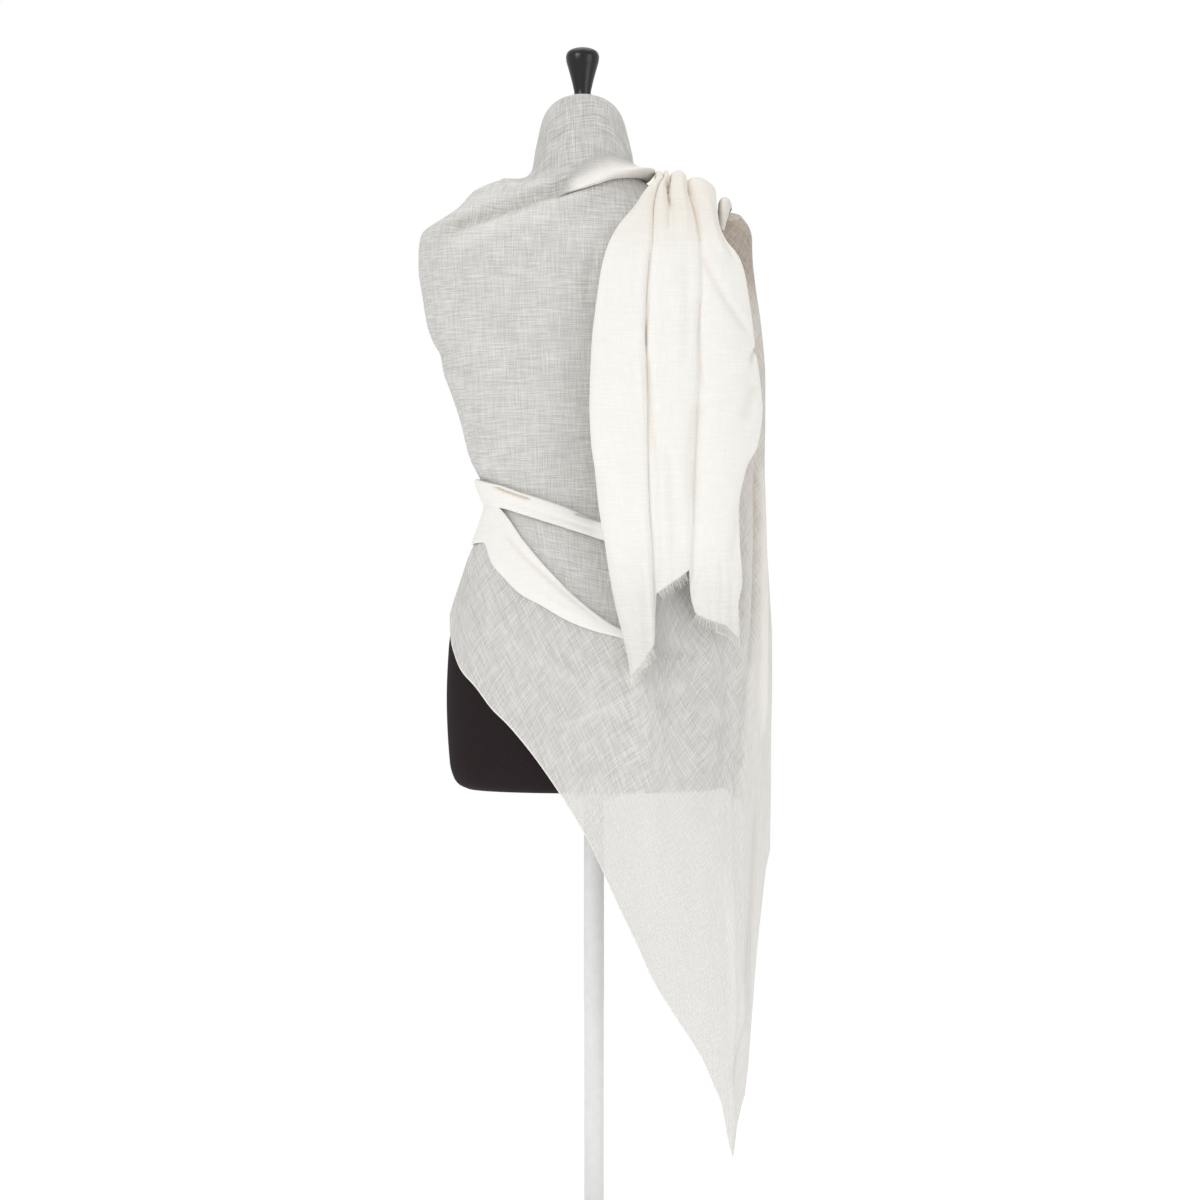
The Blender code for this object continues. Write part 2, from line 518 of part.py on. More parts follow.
def end_lines(height):
    """Places across the shoulder of the eleven fold lines at each height."""
    left, first, second, right = (read(END_LINES, "height", name, height)
                                  for name in ("left", "valley_1", "valley_2", "right"))
    middle = (first + second) / 2 - 0.006 * ease(0.640, 0.680, height)
    return np.stack((left + END_TURNED, left, (left + first) / 2, first, (first + middle) / 2, middle,
                     (middle + second) / 2, second, (second + right) / 2, right, right - END_TURNED))


def end_grid():
    """Inner points of the shoulder end, hem first, and the line number of each column."""
    line = np.linspace(0, 10, 10 * END_STEPS + 1)
    hem = np.interp(line, END_HEM["line"], END_HEM["height"])
    hang = path_length_at(END_HANG)
    top = np.linspace(0, hang, END_TOP_ROWS)[:-1]
    share = np.linspace(0, 1, END_HANG_ROWS)[:, None]
    along = np.concatenate((top[:, None] + 0 * line, hang + (path_length_at(hem) - hang) * share))[::-1]
    back = along > path_length_at(0.690)
    height = np.where(back, monotone(path_lengths(), END_PATH["height"], along), 0.690)
    places = end_lines(height)
    stands = np.array(END_STANDS)[:, None, None] + 0 * height
    on_top = ease(0.630, 0.680, height)
    stands[END_MIDDLE_VALLEY] += (END_MIDDLE_STAND - stands[END_MIDDLE_VALLEY]) * on_top
    x, stand = np.empty_like(along), np.empty_like(along)
    for row in range(along.shape[0]):
        for column in range(along.shape[1]):
            x[row, column] = monotone(np.arange(11), places[:, row, column], line[column])
            stand[row, column] = monotone(np.arange(11), stands[:, row, column], line[column])
    stand *= read(END_LINES, "height", "fullness", height)
    tick = 0.002
    across = end_guide(x + tick, along) - end_guide(x - tick, along)
    upward = end_guide(x, along - tick) - end_guide(x, along + tick)
    return end_guide(x, along) + unit(np.cross(across, upward)) * stand[..., None], line


def build_shoulder_end():
    """The end thrown over the shoulder, in three pleats, and the fringe on its hem."""
    grid, line = end_grid()
    wall_piece("shoulder_end", grid, False)
    out = outward(grid, False)
    middle = grid[0] + out[0] * WALL / 2
    for number, (low, high) in enumerate(zip(FRINGE_SPANS["from"], FRINGE_SPANS["to"]), 1):
        build_fringe(f"fringe_pleat_{number}", line, middle, out[0], low, high)


def build_fringe(name, line, hem, out, low, high):
    """Strands on a narrow strip: a row of four-sided points under a bar along the hem."""
    fine = np.linspace(low, high, 200)
    track = np.stack([np.interp(fine, line, hem[:, k]) for k in range(3)], -1)
    length = np.concatenate(([0], np.cumsum(np.linalg.norm(np.diff(track, axis=0), axis=1))))
    count = int(length[-1] / FRINGE_PITCH)
    spots = np.interp(np.linspace(0, length[-1], count + 1), length, fine)
    track = np.stack([np.interp(spots, line, hem[:, k]) for k in range(3)], -1)
    side = unit(np.stack([np.interp(spots, line, out[:, k]) for k in range(3)], -1))
    drop = unit(np.cross(side, np.gradient(track, axis=0)))
    drop *= np.sign(-drop[:, 2:])
    gap = 2 * TOUCH
    front, back = side * FRINGE_THICK / 2, -side * FRINGE_THICK / 2
    upper, lower = track + drop * gap, track + drop * (gap + FRINGE_STRIP)
    turn = np.arange(count)
    reach = FRINGE_LENGTH * (1 + 0.18 * np.sin(2.3 * turn) + 0.10 * np.sin(5.1 * turn))
    fall = unit(0.5 * (drop[:-1] + drop[1:]) + np.array((0, 0, -0.6)))
    sway = unit(np.gradient(track, axis=0))[:-1] * (0.22 * np.sin(3.7 * turn))[:, None]
    tips = 0.5 * (lower[:-1] + lower[1:]) + (fall + sway) * (reach - FRINGE_STRIP)[:, None]
    points = np.concatenate((upper + front, upper + back, lower + front, lower + back, tips))
    uf, ub, lf, lb = (np.arange(count + 1) + k * (count + 1) for k in range(4))
    tip = np.arange(count) + 4 * (count + 1)
    quads = np.concatenate((strip_quads(lf, uf), strip_quads(uf, ub), strip_quads(ub, lb)))
    faces = split(quads)
    for k in range(count):
        faces += [(lf[k + 1], lf[k], tip[k]), (lf[k], lb[k], tip[k]),
                  (lb[k], lb[k + 1], tip[k]), (lb[k + 1], lf[k + 1], tip[k])]
    faces += [(lf[0], uf[0], ub[0], lb[0]), (lb[-1], ub[-1], uf[-1], lf[-1])]
    add_piece(name, points, [tuple(int(i) for i in face) for face in faces], "gauze")


def build_tuck(stations=8, spokes=6):
    """The small gathered fold: an arch of cloth that runs over the shoulder, its feet down."""
    knots = np.arange(len(SHOULDER_TUCK["x"]))
    at = np.linspace(knots[-1], 0, stations)
    x, y, height, half, rise = (monotone(knots, column, at) for column in SHOULDER_TUCK.values())
    path = np.stack((x, y, FORM_DATUM + height), -1)
    along = unit(np.gradient(path, axis=0))
    side = unit(np.cross(along, (0, 0, 1)))
    up = np.cross(side, along)
    sweep = np.radians(np.linspace(-90, 90, spokes))
    grid = (path[:, None] + side[:, None] * (half[:, None] * np.sin(sweep))[..., None]
            + up[:, None] * (rise[:, None] * np.cos(sweep))[..., None])
    wall_piece("shoulder_tuck", grid, False)


def main():
    for piece in list(bpy.data.objects):
        bpy.data.objects.remove(piece)
    build_form()
    build_stand()
    build_wrap()
    build_hip()
    build_band("waist_band_upper", UPPER_BAND, BAND_SEAT)
    build_band("waist_band_lower", LOWER_BAND, BAND_SEAT)
    build_shoulder_end()
    build_tuck()


main()
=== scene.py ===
"""Looks of a sheer wool gauze shawl wound round a limbless dress form.

Every length is in metres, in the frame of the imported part: +Z is up, the form's back faces -Y,
and the shoulder that the end is thrown over is at +X. A "height" is measured from a datum just
under the form's lower edge. Cloth is worked out on grids whose rows run upwards and whose
columns run anticlockwise, seen from above, so that its faces point outwards. The rows of soft
folds alone have other units, which the class Creases gives.
"""
from __future__ import annotations

import logging
import math
from dataclasses import dataclass, field
from enum import Enum

import bpy
import numpy as np
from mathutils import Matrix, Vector

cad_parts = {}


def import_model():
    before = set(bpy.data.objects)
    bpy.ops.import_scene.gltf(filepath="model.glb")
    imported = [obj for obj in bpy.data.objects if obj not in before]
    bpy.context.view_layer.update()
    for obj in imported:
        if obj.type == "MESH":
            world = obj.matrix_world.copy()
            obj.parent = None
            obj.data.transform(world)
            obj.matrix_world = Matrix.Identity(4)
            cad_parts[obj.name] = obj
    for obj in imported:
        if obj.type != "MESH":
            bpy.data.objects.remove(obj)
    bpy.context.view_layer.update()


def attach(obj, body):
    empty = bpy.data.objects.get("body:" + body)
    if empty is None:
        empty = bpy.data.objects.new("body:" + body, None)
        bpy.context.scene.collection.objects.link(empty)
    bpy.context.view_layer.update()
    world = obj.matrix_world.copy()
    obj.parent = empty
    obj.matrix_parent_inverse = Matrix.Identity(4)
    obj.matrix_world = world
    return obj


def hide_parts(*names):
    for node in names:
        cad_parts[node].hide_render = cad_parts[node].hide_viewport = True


log = logging.getLogger("shawl")
Array = np.ndarray
Colour = tuple[float, float, float]
Faces = list[list[int]]
Place = tuple[float, float, float]
Rows = tuple[tuple[float, ...], ...]
Span = tuple[float, float]
Table = dict[str, tuple[float, ...]]
MILLIMETRE = 0.001
NOISE_SLANT = (0.6, 0.5, 0.4)
SIDE_BLEND = 0.012


def monotone(knots: Array, values: Array, at: Array) -> Array:
    """Cubic through knots that never overshoots them, held level past both ends.

    The slope at a knot is the weighted harmonic mean of the slopes on either side of it.

    Args:
        knots: places of the knots, ascending.
        values: value at each knot.
        at: places to read.

    Returns:
        The curve's value at each place.
    """
    knots, values = np.asarray(knots, float), np.asarray(values, float)
    step = np.diff(knots)
    rise = np.diff(values) / step
    slope = np.zeros_like(values)
    level = rise[1:] * rise[:-1] <= 0
    first, second = 2 * step[1:] + step[:-1], step[1:] + 2 * step[:-1]
    before, after = np.where(level, 1.0, rise[:-1]), np.where(level, 1.0, rise[1:])
    slope[1:-1] = np.where(level, 0.0, (first + second) / (first / before + second / after))
    slope[0], slope[-1] = rise[0], rise[-1]
    at = np.clip(at, knots[0], knots[-1])
    i = np.clip(np.searchsorted(knots, at) - 1, 0, len(knots) - 2)
    t = (at - knots[i]) / step[i]
    return ((1 + 2 * t) * (1 - t) ** 2 * values[i] + t * (1 - t) ** 2 * step[i] * slope[i]
            + t * t * (3 - 2 * t) * values[i + 1] - t * t * (1 - t) * step[i] * slope[i + 1])


def monotone_stack(values: Array, at: Array) -> Array:
    """The same cubic across a stack of grids that stand at 0, 1, 2 and so on.

    Args:
        values: one grid of values for each knot, knots first.
        at: place of each column of the grids between the knots.

    Returns:
        A grid, read at each column's place.
    """
    rise = np.diff(values, axis=0)
    slope = np.zeros_like(values)
    product = rise[1:] * rise[:-1]
    total = rise[1:] + rise[:-1]
    slope[1:-1] = np.where(product > 0, 2 * product / np.where(product > 0, total, 1.0), 0.0)
    slope[0], slope[-1] = rise[0], rise[-1]
    i = np.clip(at.astype(int), 0, len(values) - 2)
    t = at - i
    columns = np.arange(len(at))
    low, high = values[i, :, columns].T, values[i + 1, :, columns].T
    from_low, to_high = slope[i, :, columns].T, slope[i + 1, :, columns].T
    return ((1 + 2 * t) * (1 - t) ** 2 * low + t * (1 - t) ** 2 * from_low
            + t * t * (3 - 2 * t) * high - t * t * (1 - t) * to_high)


def read(table: Table, key: str, name: str, at: Array) -> Array:
    """Column `name` of a table, read at `at` along its column `key`."""
    return monotone(table[key], table[name], at)


def ease(low: float, high: float, at: Array) -> Array:
    """0 below low, 1 above high, and smooth between."""
    t = np.clip((at - low) / (high - low), 0, 1)
    return t * t * (3 - 2 * t)


def unit(vectors: Array) -> Array:
    """Vectors of length one."""
    return vectors / np.maximum(np.linalg.norm(vectors, axis=-1, keepdims=True), 1e-12)


class Closure(Enum):
    """How a grid is joined: not at all, across into a tube, or upwards into a roll."""

    OPEN = "open"
    TUBE = "tube"
    ROLL = "roll"


def outward(grid: Array, closure: Closure) -> Array:
    """Normals of a grid of points: the cross product of the way across and the way up.

    Args:
        grid: the points, in rows and columns.
        closure: how the grid is joined.

    Returns:
        A vector of length one for each point.
    """
    if closure is Closure.TUBE:
        across = np.roll(grid, -1, axis=1) - np.roll(grid, 1, axis=1)
    else:
        across = np.gradient(grid, axis=1)
    return unit(np.cross(across, np.gradient(grid, axis=0)))


def running_length(grid: Array, axis: int) -> Array:
    """Length along a grid of points: the running sum of the distances between neighbours.

    Args:
        grid: the points, in rows and columns.
        axis: 0 to go up the columns, 1 to go along the rows.

    Returns:
        The length from the first point to each point.
    """
    steps = np.linalg.norm(np.diff(grid, axis=axis), axis=-1)
    start = np.zeros_like(np.take(steps, [0], axis=axis))
    return np.concatenate((start, np.cumsum(steps, axis=axis)), axis=axis)


def face_corners(rows: int, columns: int, closure: Closure) -> tuple[Array, Array]:
    """Row and column of the four corners of each face of a grid, anticlockwise from outside.

    Args:
        rows: number of rows of points.
        columns: number of columns.
        closure: how the grid is joined. Past the join, the numbers go on growing.

    Returns:
        The rows and the columns, four for each face.
    """
    upward = np.arange(rows if closure is Closure.ROLL else rows - 1)
    across = np.arange(columns if closure is Closure.TUBE else columns - 1)
    i, j = (places.reshape(-1) for places in np.meshgrid(upward, across, indexing="ij"))
    return np.stack((i, i, i + 1, i + 1), -1), np.stack((j, j + 1, j + 1, j), -1)


def grid_faces(rows: int, columns: int, closure: Closure) -> Faces:
    """Faces of a grid, with both ends of a roll closed.

    Args:
        rows: number of rows of points.
        columns: number of columns.
        closure: how the grid is joined.

    Returns:
        The numbers of each face's points.
    """
    i, j = face_corners(rows, columns, closure)
    faces = (i % rows * columns + j % columns).tolist()
    if closure is Closure.ROLL:
        first = [row * columns for row in range(rows)]
        faces += [first, [number + columns - 1 for number in first[::-1]]]
    return faces


def turned_faces(rows: int, columns: int) -> Faces:
    """Faces of a tube with a flat face at its foot and another at its top.

    Args:
        rows: number of rows of points.
        columns: number of columns.

    Returns:
        The numbers of each face's points.
    """
    last = (rows - 1) * columns
    ends = [list(range(columns))[::-1], list(range(last, last + columns))]
    return grid_faces(rows, columns, Closure.TUBE) + ends


def add_object(name: str, points: Array, faces: Faces, finish: bpy.types.Material) -> bpy.types.Object:
    """A smooth shaded mesh object at the origin.

    Args:
        name: the piece's name.
        points: its points, one row each.
        faces: corner numbers of each face.
        finish: its material.

    Returns:
        The object, which rides on the part's one body.
    """
    mesh = bpy.data.meshes.new(name)
    mesh.from_pydata(np.asarray(points).reshape(-1, 3).tolist(), [], faces)
    mesh.shade_smooth()
    mesh.materials.append(finish)
    piece = bpy.data.objects.new(name, mesh)
    bpy.context.scene.collection.objects.link(piece)
    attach(piece, "root")
    return piece


def lay_thread(piece: bpy.types.Object, thread: Array) -> None:
    """Stores the thread's own coordinates at each face corner, as the piece's UV map."""
    layer = piece.data.uv_layers.new(name="thread")
    layer.data.foreach_set("uv", thread.reshape(-1).astype(np.float32))


def at_corners(piece: bpy.types.Object, pairs: Array) -> Array:
    """Pairs of numbers given for a piece's points, repeated at its face corners.

    Args:
        piece: the piece.
        pairs: two numbers for each point.

    Returns:
        Two numbers for each face corner.
    """
    corners = np.zeros(len(piece.data.loops), np.int32)
    piece.data.loops.foreach_get("vertex_index", corners)
    return pairs.reshape(-1, 2)[corners]


def dress(piece: bpy.types.Object, layers: Array, painted_shade: Array) -> None:
    """Stores at each point how closely layers of cloth lie, and how much warm shade is painted on it.

    Args:
        piece: the piece.
        layers: -1 where the cloth is faded out, 0 where it is one sheer layer, 1 where it is close; on
            creases it also carries painted highlight and painted shade.
        painted_shade: painted warm shade, 0 for none and 1 for the full warm shade colour.
    """
    for name, values in (("layers", layers), ("painted_shade", painted_shade)):
        attribute = piece.data.attributes.new(name, "FLOAT", "POINT")
        attribute.data.foreach_set("value", np.clip(values, -1, 1).reshape(-1).astype(np.float32))


@dataclass
class Sheet:
    """Cloth worked out on a grid of points, with the thread's own coordinates on it."""

    name: str
    grid: Array
    closure: Closure
    centre_column: int
    layers: Array | float
    painted_shade: Array | float
    thread_height: Array | None = None
    thickness: float = 0.0006

    def thread(self) -> Array:
        """Coordinates along both threads: length along each row from the centre column, and height.

        Returns:
            Two lengths for each point, and for a tube also for the first column once more.
        """
        grid = self.grid
        up = grid[..., 2] if self.thread_height is None else self.thread_height
        if self.closure is Closure.TUBE:
            grid = np.concatenate((grid, grid[:, :1]), axis=1)
            up = np.concatenate((up, up[:, :1]), axis=1)
        across = running_length(grid, 1)
        return np.stack((across - across[:, self.centre_column, None], up), -1)

    def build(self, finish: bpy.types.Material) -> bpy.types.Object:
        """The sheet's object. A roll is solid cloth, and other sheets get a thin wall.

        Args:
            finish: the cloth's material.

        Returns:
            The object.
        """
        rows, columns = self.grid.shape[:2]
        piece = add_object(self.name, self.grid, grid_faces(rows, columns, self.closure), finish)
        if self.closure is Closure.TUBE:
            lay_thread(piece, self.thread()[face_corners(rows, columns, self.closure)])
        else:
            lay_thread(piece, at_corners(piece, self.thread()))
        level = np.zeros((rows, columns))
        dress(piece, self.layers + level, self.painted_shade + level)
        if self.closure is not Closure.ROLL:
            wall = piece.modifiers.new("wall", "SOLIDIFY")
            wall.thickness = self.thickness
            wall.offset = 0.0
        return piece


@dataclass(frozen=True)
class Picture:
    """How the photograph sees the part: a level view from straight behind."""

    camera_x: float = 0.0069
    camera_distance: float = 3.0
    camera_height: float = 0.752
    pixel: float = 0.00115
    pixels: int = 1200

    def places(self, across: Array, down: Array, plane: float) -> tuple[Array, Array]:
        """Places of pixels on an upright plane, where each covers more the further it is away.

        Args:
            across: pixels from the picture's left edge.
            down: pixels from its upper edge.
            plane: where the plane stands along Y.

        Returns:
            Each place's X, and its height above the datum.
        """
        size = self.pixel * (self.camera_distance + plane) / self.camera_distance
        right, low = (across - self.pixels / 2) * size, (down - self.pixels / 2) * size
        return right + self.camera_x, self.camera_height - TORSO.datum - low


PICTURE = Picture()


@dataclass(frozen=True)
class Creases:
    """Soft folds on a surface, each along a bent line through three places.

    A row is x1, y1, x2, y2, x3, y3, width, right and rise. Folds that the photograph shows have
    their places in its pixels, on an upright plane at `plane` along Y. The others have them in
    millimetres, across and above the datum. The rise, in millimetres, falls off from the line
    like a bell, over `width` millimetres to its left and `right` times as far to its right, and
    fades towards both ends of the line. A trough has a rise below nought.
    """

    rows: Rows
    plane: float | None = None
    fade: float = 0.22
    steps: int = 12
    bell_reach: float = 3.0

    def line(self, row: tuple[float, ...]) -> tuple[Array, Array]:
        """Points of a fold's line: the parabola that passes its second place half way.

        Args:
            row: the fold's row.

        Returns:
            Each point's X, and its height above the datum.
        """
        across, up = np.array(row[0:6:2]), np.array(row[1:6:2])
        if self.plane is None:
            across, up = across * MILLIMETRE, up * MILLIMETRE
        else:
            across, up = PICTURE.places(across, up, self.plane)
        t = np.linspace(0, 1, self.steps + 1)
        bends = [2 * second - (first + third) / 2 for first, second, third in (across, up)]
        return tuple((1 - t) ** 2 * places[0] + 2 * t * (1 - t) * bend + t * t * places[2]
                     for places, bend in zip((across, up), bends))

    def rise(self, x: Array, height: Array) -> Array:
        """Height of all the folds at places given by x and height.

        Args:
            x: how far to the right each point is.
            height: its height above the datum.

        Returns:
            The summed rise at each point; troughs are below nought.
        """
        total = np.zeros(x.shape)
        for row in self.rows:
            *_, width, right, rise = row
            width, rise = width * MILLIMETRE, rise * MILLIMETRE
            line_x, line_h = self.line(row)
            reach = self.bell_reach * width * max(right, 1)
            near = ((x > line_x.min() - reach) & (x < line_x.max() + reach)
                    & (height > line_h.min() - reach) & (height < line_h.max() + reach))
            if not near.any():
                continue
            px, ph = x[near][:, None], height[near][:, None]
            dx, dh = np.diff(line_x), np.diff(line_h)
            share = ((px - line_x[:-1]) * dx + (ph - line_h[:-1]) * dh) / (dx * dx + dh * dh)
            share = np.clip(share, 0, 1)
            off_x, off_h = px - line_x[:-1] - share * dx, ph - line_h[:-1] - share * dh
            apart = off_x * off_x + off_h * off_h
            nearest = apart.argmin(1)[:, None]
            apart, share, off_x, off_h = (np.take_along_axis(a, nearest, 1)[:, 0]
                                          for a in (apart, share, off_x, off_h))
            nearest = nearest[:, 0]
            left = dx[nearest] * off_h - dh[nearest] * off_x > 0
            along = (nearest + share) / self.steps
            spread = np.where(left, width, width * right)
            bell = np.exp(-apart / spread ** 2)
            total[near] += rise * bell * ease(0, self.fade, along) * ease(0, self.fade, 1 - along)
        return total


def trough(rise: Array, depth: float = 0.005, shallow: float = 0.2) -> Array:
    """1 at the bottom of a deep trough, 0 where the cloth stands up or sinks too little."""
    return np.clip(-rise / depth - shallow, 0, 1)


def blended(back: Creases, front: Creases, skin: Array, height: Array) -> tuple[Array, Array]:
    """Rise of the folds all round: those of the back change into those of the front at the sides.

    Args:
        back: folds seen from behind.
        front: folds seen from in front.
        skin: points of the plain surface.
        height: each point's height above the datum.

    Returns:
        The rise at each point, and how much of it is the back's.
    """
    rear = ease(-SIDE_BLEND, SIDE_BLEND, -skin[..., 1])
    x = skin[..., 0]
    return back.rise(x, height) * rear + front.rise(x, height) * (1 - rear), rear


class Graph:
    """A material's nodes, with short calls for adding and joining them."""

    def __init__(self, name: str) -> None:
        """Starts a material with one Principled shader.

        Args:
            name: the material's name.
        """
        self.material = bpy.data.materials.new(name)
        self.material.use_nodes = True
        self.shader = self.material.node_tree.nodes["Principled BSDF"]

    def add(self, kind: str, inputs: dict | None = None, **settings: object) -> bpy.types.Node:
        """Adds a node.

        Args:
            kind: the node's type.
            inputs: a value or another node's output for each input, by name or number.
            settings: the node's own properties.

        Returns:
            The node.
        """
        node = self.material.node_tree.nodes.new(kind)
        for key, value in settings.items():
            setattr(node, key, value)
        for key, value in (inputs or {}).items():
            self.join(value, node.inputs[key])
        return node

    def join(self, value: object, socket: bpy.types.NodeSocket) -> None:
        """Links an output to a socket, or sets the socket's value.

        Args:
            value: another node's output, or a value.
            socket: the input.
        """
        if isinstance(value, bpy.types.NodeSocket):
            self.material.node_tree.links.new(value, socket)
        else:
            socket.default_value = value

    def set(self, values: dict[str, object]) -> None:
        """Joins values or outputs to the shader's inputs, by name."""
        for key, value in values.items():
            self.join(value, self.shader.inputs[key])

    def sum(self, a: object, b: object, share: float = 1.0) -> bpy.types.NodeSocket:
        """a times share, plus b."""
        return self.add("ShaderNodeMath", {0: a, 1: share, 2: b}, operation="MULTIPLY_ADD").outputs[0]

    def spread(self, value: object, low: object, high: object,
               ends: Span = (0.0, 1.0)) -> bpy.types.NodeSocket:
        """A value brought from the span between two ends to the one between low and high."""
        inputs = {"Value": value, "From Min": ends[0], "From Max": ends[1], "To Min": low, "To Max": high}
        return self.add("ShaderNodeMapRange", inputs).outputs[0]

    def noise(self, place: object, size: Place, detail: float) -> bpy.types.NodeSocket:
        """Noise with grains of the given size along each axis, cut at a slant so its own grid is hidden.

        Args:
            place: where the noise is read.
            size: length of its grains along each axis.
            detail: how many finer layers it has.

        Returns:
            The noise's output.
        """
        scaled = self.add("ShaderNodeMapping", {
            "Vector": place, "Scale": tuple(1 / s for s in size), "Rotation": NOISE_SLANT})
        grain = {"Vector": scaled.outputs[0], "Scale": 1.0, "Detail": detail}
        return self.add("ShaderNodeTexNoise", grain).outputs["Fac"]

    def ramp(self, value: object, low: Colour, high: Colour) -> bpy.types.NodeSocket:
        """Colour between low and high, by a value between 0 and 1.

        Args:
            value: the value.
            low: the colour at 0.
            high: the colour at 1.

        Returns:
            The colour's output.
        """
        mix = self.add("ShaderNodeMix", {0: value, 6: (*low, 1), 7: (*high, 1)}, data_type="RGBA")
        return mix.outputs[2]

    def bump(self, height: object, distance: float) -> bpy.types.NodeSocket:
        """Normals of a low relief, at half strength."""
        relief = {"Height": height, "Distance": distance, "Strength": 0.5}
        return self.add("ShaderNodeBump", relief).outputs[0]


class Weave(Enum):
    """Which way the threads run on a stretch of cloth, in degrees from level."""

    STRAIGHT = 0.0
    BIAS = 58.0
    LEANING = 12.0


@dataclass(frozen=True)
class Gauze:
    """Open plain weave of uneven wool thread, from one sheer layer to many close ones.

    The share of light that one face stops is `cover`, and two faces make one layer of cloth. The
    points' layers bring it up to a closed cover above nought and fade it out below; on creases they
    also carry painted highlight and painted shade. Their painted warm shade darkens and warms it.
    The weave's density is a sum of four noises, each with its share.
    """

    name: str
    weave: Weave
    contrast: float
    cover: float = 0.61
    sheer: Colour = (0.80, 0.785, 0.755)
    close: Colour = (0.95, 0.933, 0.890)
    warm_painted_shade: Colour = (0.92, 0.85, 0.75)
    slub: float = 0.026
    thread: float = 0.0008
    relief: float = 0.0003
    cloud: Place = (0.045, 0.028, 1)
    cloud_share: float = 0.07
    speck_share: float = 0.17
    warp_share: float = 0.34
    weft_share: float = 0.42
    density_ends: Span = (0.41, 0.59)
    shade: Span = (0.955, 1.02)

    def density(self, graph: Graph) -> bpy.types.NodeSocket:
        """How close the threads lie, from 0 to 1: slubs along both threads, specks and clouds.

        Args:
            graph: the material's nodes.

        Returns:
            The density's output.
        """
        place = graph.add("ShaderNodeUVMap", uv_map="thread").outputs[0]
        turn = {"Vector": place, "Rotation": (0, 0, math.radians(self.weave.value))}
        spot = graph.add("ShaderNodeMapping", turn, vector_type="POINT").outputs[0]
        weft = graph.noise(spot, (self.slub, self.thread, 1), 2)
        warp = graph.noise(spot, (self.thread, self.slub, 1), 2)
        speck = graph.noise(spot, (self.thread, self.thread, 1), 3)
        total = graph.sum(graph.noise(spot, self.cloud, 2), 0.0, self.cloud_share)
        for grain, share in ((speck, self.speck_share), (warp, self.warp_share), (weft, self.weft_share)):
            total = graph.sum(grain, total, share)
        return graph.spread(total, 0.0, 1.0, self.density_ends)

    def material(self) -> bpy.types.Material:
        """The finish: density varies colour, cover and relief, and the points' values do the rest.

        Returns:
            The material.
        """
        graph = Graph(self.name)
        density = self.density(graph)
        layers = graph.add("ShaderNodeAttribute", attribute_name="layers").outputs["Fac"]
        painted_shade = graph.add("ShaderNodeAttribute", attribute_name="painted_shade").outputs["Fac"]
        plain = graph.ramp(layers, self.sheer, self.close)
        shaded = {0: plain, "Scale": graph.spread(density, *self.shade)}
        tone = graph.add("ShaderNodeVectorMath", shaded, operation="SCALE").outputs[0]
        # Painted warm shade: the colour is pulled towards the warm shade colour by the points' painted
        # shade value.
        painted_shade_tint = graph.ramp(painted_shade, (1.0, 1.0, 1.0), self.warm_painted_shade)
        colour = graph.add("ShaderNodeVectorMath", {0: tone, 1: painted_shade_tint}, operation="MULTIPLY").outputs[0]
        cover = graph.spread(density, self.cover - self.contrast / 2, self.cover + self.contrast / 2)
        closed = graph.spread(layers, cover, 1.0)
        fade = graph.spread(layers, 0.0, 1.0, (-1.0, 0.0))
        graph.set({"Base Color": colour, "Alpha": graph.sum(closed, 0.0, fade),
                   "Normal": graph.bump(density, self.relief), "Roughness": 0.92,
                   "Specular IOR Level": 0.1, "Sheen Weight": 0.1, "Sheen Roughness": 0.5})
        return graph.material


@dataclass(frozen=True)
class Jersey:
    """Fine black knit stretched over the form."""

    name: str = "form_jersey"
    dark: Colour = (0.013, 0.0085, 0.0095)
    light: Colour = (0.026, 0.017, 0.019)
    rib: float = 0.0012
    relief: float = 0.0002

    def material(self) -> bpy.types.Material:
        """The finish: fine upright ribs with a slight mottle.

        Returns:
            The material.
        """
        graph = Graph(self.name)
        place = graph.add("ShaderNodeUVMap", uv_map="thread").outputs[0]
        mottle = graph.noise(place, (self.rib, 3 * self.rib, 1), 3)
        graph.set({"Base Color": graph.ramp(mottle, self.dark, self.light),
                   "Normal": graph.bump(mottle, self.relief),
                   "Roughness": 0.85, "Specular IOR Level": 0.15})
        return graph.material


@dataclass(frozen=True)
class Lacquer:
    """Smooth lacquer with a faint mottle in its colour and gloss."""

    name: str
    colour: Colour
    roughness: float
    coat: float
    grain: float = 0.012
    darker: float = 0.85

    def material(self) -> bpy.types.Material:
        """The finish: colour and roughness vary a little from place to place.

        Returns:
            The material.
        """
        graph = Graph(self.name)
        place = graph.add("ShaderNodeTexCoord").outputs["Object"]
        mottle = graph.noise(place, (self.grain, self.grain, self.grain), 3)
        shade = tuple(self.darker * c for c in self.colour)
        graph.set({"Base Color": graph.ramp(mottle, shade, self.colour),
                   "Roughness": graph.spread(mottle, 0.8 * self.roughness, 1.2 * self.roughness),
                   "Coat Weight": self.coat, "Coat Roughness": 0.08})
        return graph.material


